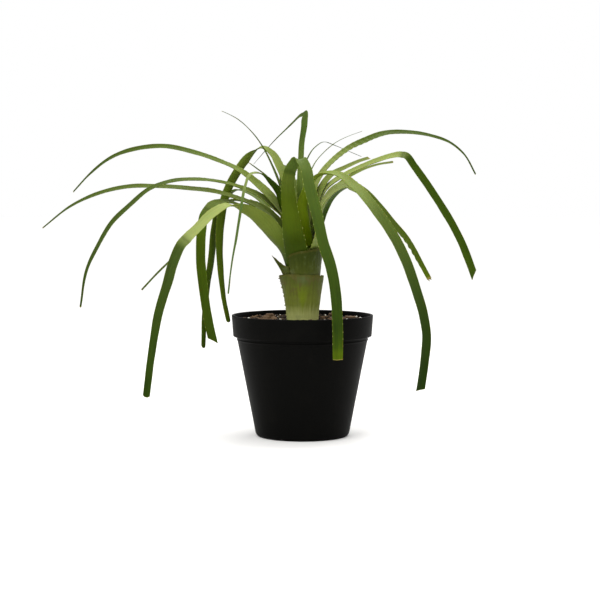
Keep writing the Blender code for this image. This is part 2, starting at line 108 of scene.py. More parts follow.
class Value:
    # wraps one socket, so that shader maths reads as an expression
    def __init__(self, tree, socket):
        self.tree = tree
        self.socket = socket

    def maths(self, operation, *others):
        made = self.tree.nodes.new("ShaderNodeMath")
        made.operation = operation
        for slot, value in zip(made.inputs, (self, *others)):
            plug(self.tree, slot, value)
        return Value(self.tree, made.outputs[0])

    def __add__(self, other):
        return self.maths("ADD", other)

    def __sub__(self, other):
        return self.maths("SUBTRACT", other)

    def __rsub__(self, other):
        return (self * -1) + other

    def __mul__(self, other):
        return self.maths("MULTIPLY", other)

    def __truediv__(self, other):
        return self.maths("DIVIDE", other)

    __radd__ = __add__
    __rmul__ = __mul__

    def size(self):
        return self.maths("ABSOLUTE")

    def atLeast(self, low):
        return self.maths("MAXIMUM", low)

    def held(self):
        # kept between 0 and 1
        return self.maths("MAXIMUM", 0).maths("MINIMUM", 1)

    def rising(self, low, high):
        # 0 below low, 1 above high, and a soft step between them
        made = self.tree.nodes.new("ShaderNodeMapRange")
        made.interpolation_type = "SMOOTHSTEP"
        plug(self.tree, made.inputs["Value"], self)
        made.inputs["From Min"].default_value = low
        made.inputs["From Max"].default_value = high
        return Value(self.tree, made.outputs[0])


def plug(tree, slot, value):
    # a link from another socket, or a fixed number, colour or vector
    if isinstance(value, Value):
        tree.links.new(value.socket, slot)
    elif isinstance(value, tuple) and slot.type == "RGBA":
        slot.default_value = (*value[:3], 1)
    else:
        slot.default_value = value


class Finish:
    # one material, with its shader and whatever nodes feed it
    def __init__(self, name, **fixed):
        self.material = bpy.data.materials.new(name)
        self.material.use_nodes = True
        self.tree = self.material.node_tree
        self.shader = self.tree.nodes["Principled BSDF"]
        for socket, value in fixed.items():
            self.shader.inputs[socket.replace("_", " ")].default_value = value

    def node(self, kind, settings=None, sockets=None, out=0):
        # any node: its settings first, then the values or links of its sockets
        made = self.tree.nodes.new(kind)
        for name, value in (settings or {}).items():
            setattr(made, name, value)
        for name, value in (sockets or {}).items():
            plug(self.tree, made.inputs[name], value)
        return Value(self.tree, made.outputs[out])

    def attribute(self, name):
        return self.node("ShaderNodeAttribute", {"attribute_name": name}, out=2)

    def place(self):
        return self.node("ShaderNodeTexCoord", out=3)

    def vector(self, x, y, z):
        return self.node("ShaderNodeCombineXYZ", sockets={0: x, 1: y, 2: z})

    def parts(self, vector):
        split = self.node("ShaderNodeSeparateXYZ", sockets={0: vector})
        outputs = split.socket.node.outputs
        return [Value(self.tree, outputs[i]) for i in range(3)]

    def noise(self, vector, scale=1.0, detail=2.0, roughness=0.5):
        sockets = {"Vector": vector, "Scale": scale, "Detail": detail, "Roughness": roughness}
        return self.node("ShaderNodeTexNoise", sockets=sockets)

    def cells(self, vector):
        return self.node("ShaderNodeTexVoronoi", sockets={"Vector": vector, "Scale": 1.0})

    def mixed(self, share, first, second):
        settings = {"data_type": "RGBA", "clamp_factor": True}
        return self.node("ShaderNodeMix", settings, {0: share, 6: first, 7: second}, out=2)

    def coated(self, colour, *coats):
        # coats laid over a colour one after another, each as (share, colour of the coat)
        for share, coat in coats:
            colour = self.mixed(share, colour, coat)
        return colour

    def wear(self, **sockets):
        for name, value in sockets.items():
            plug(self.tree, self.shader.inputs[name.replace("_", " ")], value)

    def bump(self, height, distance, strength=1.0):
        sockets = {"Height": height, "Distance": distance, "Strength": strength}
        plug(self.tree, self.shader.inputs["Normal"], self.node("ShaderNodeBump", sockets=sockets))


# Making meshes

def gridFaces(rows, columns):
    # quads between each row and the next, and round from the last column to the first
    start = np.arange(rows - 1)[:, None] * columns
    here = np.arange(columns)
    after = (here + 1) % columns
    corners = (start + here, start + after, start + columns + after, start + columns + here)
    return np.stack(corners, axis=-1).reshape(-1, 4)


def loopCap(first, columns):
    # closes a flat loop with quads between its two sides; it starts and ends with a triangle
    half = columns // 2
    faces = [(first, first + 1, first + columns - 1)]
    for j in range(1, half - 1):
        faces.append((first + j, first + j + 1, first + columns - j - 1, first + columns - j))
    faces.append((first + half - 1, first + half, first + half + 1))
    return faces


def sleeveFaces(rows, columns):
    # a closed sleeve: the wrapped grid and a cap at each end
    faces = gridFaces(rows, columns).tolist() + loopCap((rows - 1) * columns, columns)
    return faces + [face[::-1] for face in loopCap(0, columns)]


def camel(node):
    # a node's name as a piece's name
    first, *rest = node.split("_")
    return first + "".join(word.capitalize() for word in rest)


def bandLayout(rows, columns):
    # lays the wrapped grid out flat: rows along one side and columns along the other, end caps in corners
    def lay(mesh, corner):
        row, column = corner // columns, corner % columns
        total = np.empty(len(mesh.polygons), np.int32)
        mesh.polygons.foreach_get("loop_total", total)
        owner = np.repeat(np.arange(len(total)), total)
        highest = np.zeros(len(total), np.int32)
        np.maximum.at(highest, owner, column)
        wraps = (highest[owner] == columns - 1) & (column == 0)
        column = np.where(wraps, columns, column)
        flat = np.stack([0.01 + 0.93 * row / (rows - 1), 0.01 + 0.98 * column / columns], -1)
        capped = owner >= (rows - 1) * columns
        half = columns // 2
        over = np.minimum(corner % columns, columns - corner % columns) / half
        side = (corner % columns > half) * 0.012
        end = np.where(row == 0, 0.95, 0.975)
        caps = np.stack([end + side, 0.01 + 0.98 * over], -1)
        return np.where(capped[:, None], caps, flat)
    return lay


def makePiece(name, points, faces, finish, nodes=(), values=None, layout=None, flat=False):
    # one mesh with its material, per-point values and bake layout; it rides the body, and the nodes that it
    # replaces are hidden
    mesh = bpy.data.meshes.new(name)
    mesh.from_pydata(np.asarray(points).reshape(-1, 3).tolist(), [], faces)
    for label, numbers in (values or {}).items():
        data = mesh.attributes.new(label, "FLOAT", "POINT")
        data.data.foreach_set("value", np.ascontiguousarray(numbers, np.float32).ravel())
    if layout is not None:
        corner = np.empty(len(mesh.loops), np.int32)
        mesh.loops.foreach_get("vertex_index", corner)
        chart = mesh.uv_layers.new(name="OFBake")
        chart.data.foreach_set("uv", layout(mesh, corner).astype(np.float32).ravel())
    mesh.polygons.foreach_set("use_smooth", [not flat] * len(mesh.polygons))
    mesh.materials.append(finish.material)
    mesh.update()
    piece = bpy.data.objects.new(name, mesh)
    bpy.context.scene.collection.objects.link(piece)
    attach(piece, "root")
    if nodes:
        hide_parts(*nodes)
    return piece


# Pot

potFacts = {
    "height": 120 * mm,
    "rimRadius": 70 * mm,
    "bandHeight": 21 * mm,
    "bandBottom": 68.5 * mm,
    "bandStep": 1.5 * mm,
    "wallTop": 64.5 * mm,
    "base": 46.5 * mm,
    "baseEdge": 2.5 * mm,
    "wall": 1.6 * mm,
    "rimLip": 3 * mm,
    "floor": 2.4 * mm,
    "bead": 0.55 * mm,
    "beadDrop": 1.6 * mm,
    "steps": 192,
    "longestStep": 7 * mm,
    "drainHoles": 6,
    "drainRadius": 4.5 * mm,
    "drainSides": 48,
    "drainCircle": 32 * mm,
    "drillLength": 20 * mm,
    "weld": 0.01 * mm,
    "sharpFrom": 40,
    "black": tone(6, 6, 5),
    "dust": tone(24, 22, 18),
    "roughness": 0.5,
}


def rounded(corner, before, after, radius, steps=5):
    # an arc that stands in for a corner of an outline: a quadratic curve between two points beside it
    corner, before, after = (np.array(p, float) for p in (corner, before, after))
    start = corner + unit(before - corner) * radius
    end = corner + unit(after - corner) * radius
    t = np.linspace(0, 1, steps)[:, None]
    return (1 - t) ** 2 * start + 2 * t * (1 - t) * corner + t**2 * end


def roundOutline(corners):
    # each corner is (radius, height, rounding); sharp where the rounding is 0
    line = []
    for i, (radius, height, soft) in enumerate(corners):
        if soft == 0 or i in (0, len(corners) - 1):
            line.append([(radius, height)])
        else:
            line.append(rounded((radius, height), corners[i - 1][:2], corners[i + 1][:2], soft))
    return np.vstack(line)


def denser(line, step):
    # the same outline with extra points, so that no stretch is longer than a step
    made = [line[:1]]
    for start, end in zip(line[:-1], line[1:]):
        count = max(1, int(np.ceil(np.linalg.norm(end - start) / step)))
        made.append(start + (end - start) * (np.arange(1, count + 1) / count)[:, None])
    return np.vstack(made)


def turned(outline, steps):
    # a profile carried round the axis: x = r cos a, y = r sin a, z = h; its ends close on the axis
    angle = np.linspace(0, 2 * math.pi, steps, endpoint=False)
    radius, height = outline[1:-1, 0][:, None], outline[1:-1, 1][:, None]
    ring = np.stack([radius * np.cos(angle), radius * np.sin(angle), height + 0 * angle], -1)
    rows = len(outline) - 2
    points = np.vstack([ring.reshape(-1, 3), (0, 0, outline[0, 1]), (0, 0, outline[-1, 1])])
    faces = gridFaces(rows, steps)[:, ::-1].tolist()
    top, bottom, last = rows * steps, rows * steps + 1, (rows - 1) * steps
    for i in range(steps):
        after = (i + 1) % steps
        faces.append((i, after, top))
        faces.append((last + after, last + i, bottom))
    return points, faces


def potOutline():
    # from the middle of the floor out and up the inside, over the rim, and down the outside to the middle
    # of the foot
    p = potFacts
    bandFoot = p["height"] - p["bandHeight"]
    stepFoot = bandFoot - p["bandStep"]
    inner = p["base"] - p["wall"]
    lip = p["rimRadius"] - p["rimLip"]
    beadAt = stepFoot - p["beadDrop"]
    corners = [
        (0, p["floor"], 0),
        (inner - 1.0 * mm, p["floor"], 1.5 * mm),
        (p["wallTop"] - p["wall"], stepFoot - 1 * mm, 1 * mm),
        (p["bandBottom"] - p["wall"] - 1 * mm, stepFoot + 2.5 * mm, 1 * mm),
        (lip, p["height"] - 2.5 * mm, 0.8 * mm),
        (lip + 0.6 * mm, p["height"], 0.6 * mm),
        (p["rimRadius"], p["height"], 0.8 * mm),
        (p["rimRadius"] - 0.2 * mm, p["height"] - 3 * mm, 1.2 * mm),
        (p["bandBottom"], bandFoot, 1.0 * mm),
        (p["wallTop"] + 0.5 * mm, bandFoot - 0.3 * mm, 0.35 * mm),
        (p["wallTop"] + 0.1 * mm, beadAt + 1.0 * mm, 0.3 * mm),
        (p["wallTop"] + p["bead"], beadAt + 0.35 * mm, 0.25 * mm),
        (p["wallTop"] + p["bead"], beadAt - 0.35 * mm, 0.25 * mm),
        (p["wallTop"] - 0.15 * mm, beadAt - 1.1 * mm, 0.3 * mm),
        (p["base"], p["baseEdge"], 1.6 * mm),
        (p["base"] - p["baseEdge"] * 0.8, 0, 1.0 * mm),
        (0, 0, 0),
    ]
    return denser(roundOutline(corners), p["longestStep"])


def potFinish():
    finish = Finish("blackPotPlastic", Specular_IOR_Level=0.03)
    place = finish.place()
    grain = finish.noise(place, scale=2600, detail=2)
    cloud = finish.noise(place, scale=38, detail=4, roughness=0.6)
    x, y, z = finish.parts(place)
    streak = finish.noise(finish.vector(x * 90, y * 90, z * 12), detail=3)
    grime = (cloud.rising(0.5, 0.75) * 0.10 + streak.rising(0.58, 0.8) * 0.08).held()
    finish.wear(
        Base_Color=finish.mixed(grime, potFacts["black"], potFacts["dust"]),
        Roughness=potFacts["roughness"] + cloud * 0.10 - streak * 0.05,
    )
    finish.bump(grain, 0.03 * mm, 0.5)
    return finish


def cutHoles(piece):
    # the drain holes, cut right through the floor all at once and then kept in the mesh; points that the
    # cut leaves closer together than the weld are joined, and faces with many corners become triangles
    p = potFacts
    shape = bmesh.new()
    for i in range(p["drainHoles"]):
        angle = 2 * math.pi * (i + 0.5) / p["drainHoles"]
        drill = bmesh.ops.create_cone(
            shape, cap_ends=True, segments=p["drainSides"], radius1=p["drainRadius"],
            radius2=p["drainRadius"], depth=p["drillLength"])
        centre = (p["drainCircle"] * math.cos(angle), p["drainCircle"] * math.sin(angle), 0)
        bmesh.ops.translate(shape, verts=drill["verts"], vec=centre)
    mesh = bpy.data.meshes.new("drainDrills")
    shape.to_mesh(mesh)
    shape.free()
    drills = bpy.data.objects.new("drainDrills", mesh)
    bpy.context.scene.collection.objects.link(drills)
    holes = piece.modifiers.new("holes", "BOOLEAN")
    holes.object = drills
    holes.solver = "EXACT"
    cut = bpy.data.meshes.new_from_object(piece.evaluated_get(bpy.context.evaluated_depsgraph_get()))
    piece.modifiers.clear()
    piece.data = cut
    shape = bmesh.new()
    shape.from_mesh(cut)
    bmesh.ops.remove_doubles(shape, verts=shape.verts, dist=p["weld"])
    bmesh.ops.triangulate(shape, faces=[face for face in shape.faces if len(face.verts) > 4])
    shape.to_mesh(cut)
    shape.free()
    cut.set_sharp_from_angle(angle=math.radians(p["sharpFrom"]))
    bpy.data.objects.remove(drills)


def makePot():
    points, faces = turned(potOutline(), potFacts["steps"])
    piece = makePiece("potShell", points, faces, potFinish(), ["pot"])
    cutHoles(piece)


makePot()
report("pot turned and drained")


# Stem, with the cut bases of old leaves round it

stemFacts = {
    "foot": 96 * mm,
    "radius": 12.6 * mm,
    "swells": 118 * mm,
    "shoulder": 168 * mm,
    "shoulderRadius": 14.6 * mm,
    "tip": 219 * mm,
    "tipRadius": 1.6 * mm,
    "steps": 120,
    "shoulderRings": 40,
    "longestStep": 3 * mm,
    "fleshFrom": (0.118, 0.150),
    "deepFrom": (0.160, 0.200),
    "cream": tone(142, 146, 84),
    "flesh": tone(86, 98, 34),
    "deep": tone(74, 90, 14),
}


def stemRadius(height):
    s = stemFacts
    taper = smooth((height - s["shoulder"]) / (s["tip"] - s["shoulder"]))
    return s["shoulderRadius"] + (s["tipRadius"] - s["shoulderRadius"]) * taper


def stemFinish():
    s = stemFacts
    finish = Finish("stemFlesh", Specular_IOR_Level=0.08)
    place = finish.place()
    x, y, z = finish.parts(place)
    fibre = finish.noise(finish.vector(x * 900, y * 900, z * 60), detail=3)
    patch = finish.noise(place, scale=120, detail=3)
    colour = finish.coated(
        s["cream"],
        (z.rising(*s["fleshFrom"]), s["flesh"]),
        (z.rising(*s["deepFrom"]), s["deep"]),
        (fibre.rising(0.45, 0.75) * 0.4, s["deep"]),
    )
    finish.wear(Base_Color=colour, Roughness=0.5 + patch * 0.2)
    finish.bump(fibre + patch * 0.5, 0.2 * mm, 0.6)
    return finish


def makeStem():
    s = stemFacts
    heights = np.linspace(s["tip"], s["shoulder"], s["shoulderRings"])
    upper = np.stack([stemRadius(heights), heights], -1)
    lower = denser(np.array([(s["radius"], s["swells"]), (s["radius"], s["foot"])]), s["longestStep"])
    outline = np.vstack([(0, s["tip"]), upper, lower, (0, s["foot"])])
    points, faces = turned(outline, s["steps"])
    makePiece("pithStem", points, faces, stemFinish(), ["stem"])


makeStem()
report("stem turned")


# Old leaf bases: bearing of the middle, half of the angle that each wraps, foot and top as radius and
# height in mm, how the cut rises across and drops at its ends, how the left corner flares, how late the
# base swells, where a torn point stands (place across, out, up), how the front bulges and how ragged the
# cut is

oldBases = {
    "old_base_lower": dict(
        bearing=280, wrap=96, foot=(15, 109.6), top=(21.4, 161), rise=-1, drop=3, flare=2.6, swell=1.4,
        point=(0, 0, 0), ragged=1.1, seed=3),
    "old_base_rear": dict(
        bearing=98, wrap=91, foot=(13.5, 110), top=(19.4, 158), rise=2, drop=5, flare=0, swell=1.3,
        point=(0, 0, 0), ragged=1.3, seed=5),
    "old_base_middle": dict(
        bearing=305, wrap=74, foot=(14.2, 130), top=(19.9, 186), rise=3.5, drop=3, flare=0, swell=1,
        point=(0, 0, 0), bulge=3.6, ragged=0.8, seed=8),
    "old_base_left": dict(
        bearing=179, wrap=48, foot=(14.2, 130), top=(20.3, 169), rise=2, drop=3, flare=0, swell=1.6,
        point=(0.375, 11, 9.5), ragged=1.0, seed=13),
}

# thickness is in metres. jags are (pitch, waves, depth), and the two kinds of unevenness and the ribs are
# (height, pitch), all in mm; toothSpread is in degrees. The From pairs are heights in metres between which
# a colour comes in. heartAt is how far round, the foot and the middle, and hoaryAt how far round and the
# middle, in metres.
oldBaseFacts = {
    "thickness": 1.1 * mm,
    "rows": 110,
    "columns": 260,
    "jags": ((3.1, 6, 1.4), (0.9, 5, 0.7)),
    "unevenAcross": (0.25, 7.0),
    "unevenUp": (0.12, 9.0),
    "ribs": (0.10, 0.55),
    "tornWidth": 0.11,
    "toothPitch": 2.6,
    "toothLength": 1.8,
    "toothSpread": 4.0,
    "limeFrom": (0.117, 0.134),
    "oliveFrom": (0.128, 0.160),
    "deepFrom": (0.152, 0.182),
    "heartAt": (-0.0037, 0.124, 0.137),
    "hoaryAt": (-0.003, 0.156),
    "brownFrom": (0.130, 0.150),
    "brownTo": (0.156, 0.166),
    "cream": tone(160, 164, 98),
    "lime": tone(104, 112, 40),
    "olive": tone(70, 78, 24),
    "deep": tone(44, 54, 4),
    "dry": tone(84, 74, 34),
    "scale": tone(96, 108, 74),
    "heart": tone(110, 128, 10),
}


def oldBaseFinish():
    # pale at the foot and darker upwards, with fibres that run up, a yellow-green heart low on the front
    # that widens upwards from its point, a hoary patch above it, and dry edges
    f = oldBaseFacts
    finish = Finish("oldLeafBase", Specular_IOR_Level=0.08)
    place = finish.place()
    z = finish.parts(place)[2]
    around, edge = finish.attribute("round"), finish.attribute("edge")
    fibre = finish.noise(finish.vector(around * 2600, z * 90, 0.0), detail=3, roughness=0.6)
    broad = finish.noise(finish.vector(around * 420, z * 40, 3.0), detail=2)
    patch = finish.noise(place, scale=130, detail=4, roughness=0.6)
    ground = z + (broad - 0.5) * 0.016
    worn = (edge + (patch - 0.5) * 0.7).rising(0.45, 0.85)
    heartSide, heartFoot, heartMiddle = f["heartAt"]
    sideways = (around - heartSide).size() / ((z - heartFoot).atLeast(0.003) * 0.42)
    heart = (1 - sideways.rising(0, 1.3)) * (1 - (z - heartMiddle).size() * 62).held()
    hoarySide, hoaryMiddle = f["hoaryAt"]
    hoary = (1 - (around - hoarySide).size() * 110).held() * (1 - (z - hoaryMiddle).size() * 130).held()
    browned = (patch + broad * 0.5).rising(0.72, 0.9) * z.rising(*f["brownFrom"])
    browned = browned * (1 - z.rising(*f["brownTo"]))
    colour = finish.coated(
        f["cream"],
        (ground.rising(*f["limeFrom"]), f["lime"]),
        (ground.rising(*f["oliveFrom"]), f["olive"]),
        (ground.rising(*f["deepFrom"]), f["deep"]),
        (fibre.rising(0.52, 0.78) * 0.35, f["deep"]),
        (patch.rising(0.55, 0.72) * 0.30, f["scale"]),
        (heart * (0.35 + fibre * 0.6), f["heart"]),
        (hoary * (0.12 + patch * 0.7), f["scale"]),
        (browned * 0.6, f["dry"]),
        (worn * 0.3, f["dry"]),
    )
    finish.wear(Base_Color=colour, Roughness=0.42 + patch * 0.25 + worn * 0.2)
    finish.bump(fibre + broad * 0.8 + patch * 0.3, 0.22 * mm, 0.7)
    return finish


def oldBaseSurface(base):
    # a slice of a cone round the stem: an outer and an inner wall that meet at the two sides, in rows
    # from the foot to the cut; the cut is ragged, the sides carry small teeth, and one has a torn point
    f, chance = oldBaseFacts, np.random.default_rng(base["seed"])
    columns, rows = f["columns"], f["rows"]
    turn = 2 * math.pi * np.arange(columns) / columns
    across = -np.cos(turn)
    outward = np.sin(turn)
    up = np.linspace(0, 1, rows)[:, None]
    footRadius, footHeight = base["foot"]
    topRadius, topHeight = base["top"]
    arc = across * base["wrap"] / degreesPerRadian * topRadius
    jag = 0
    for pitch, waves, depth in f["jags"]:
        jag = jag + np.abs(wander(arc, chance, pitch, waves)) * depth
    cut = topHeight + base["rise"] * across - base["drop"] * across**4 - base["ragged"] * jag
    height = footHeight + (cut - footHeight) * up
    share = (height - footHeight) / (topHeight - footHeight)
    radius = footRadius + (topRadius - footRadius) * np.clip(share, 0, 2) ** base["swell"]
    radius = radius + base["flare"] * np.clip(-across, 0, 1) ** 6 * up**3
    forward = np.clip(-np.sin(np.radians(base["bearing"] + base["wrap"] * across)), 0, 1)
    radius = radius + base.get("bulge", 0) * forward**2 * up
    place, out, lift = base["point"]
    torn = bell(across, place, f["tornWidth"]) * up**5
    radius, height = radius + out * torn, height + lift * torn
    depth, pitch = f["unevenAcross"]
    radius = radius + depth * wander(arc, chance, pitch) * up
    depth, pitch = f["unevenUp"]
    radius = radius + depth * wander(height, chance, pitch)
    depth, pitch = f["ribs"]
    radius = radius + depth * np.sin(arc / pitch) * smooth(up / 0.2)
    thin = 1 - 0.55 * smooth((up - 0.93) / 0.07)
    radius = radius + np.sign(outward) * np.abs(outward) ** 0.6 * f["thickness"] / mm / 2 * thin
    row = np.maximum(0, wander(height, chance, f["toothPitch"], 3))
    toothed = np.abs(across) ** 400 * row * smooth(up / 0.3)
    radius = radius + toothed * f["toothLength"]
    leant = np.sign(across) * toothed * f["toothSpread"]
    angle = np.radians(base["bearing"] + base["wrap"] * across + leant)
    points = np.stack([radius * np.cos(angle), radius * np.sin(angle), height], -1) * mm
    values = {
        "round": arc * mm + 0 * up,
        "edge": np.maximum(smooth((up - 0.90) / 0.10), smooth((np.abs(across) - 0.965) / 0.035)),
    }
    return points, values


def makeOldBases():
    finish = oldBaseFinish()
    rows, columns = oldBaseFacts["rows"], oldBaseFacts["columns"]
    faces, layout = sleeveFaces(rows, columns), bandLayout(rows, columns)
    for node, base in oldBases.items():
        points, values = oldBaseSurface(base)
        makePiece(camel(node), points, faces, finish, [node], values, layout)


makeOldBases()
report("old leaf bases wrapped")
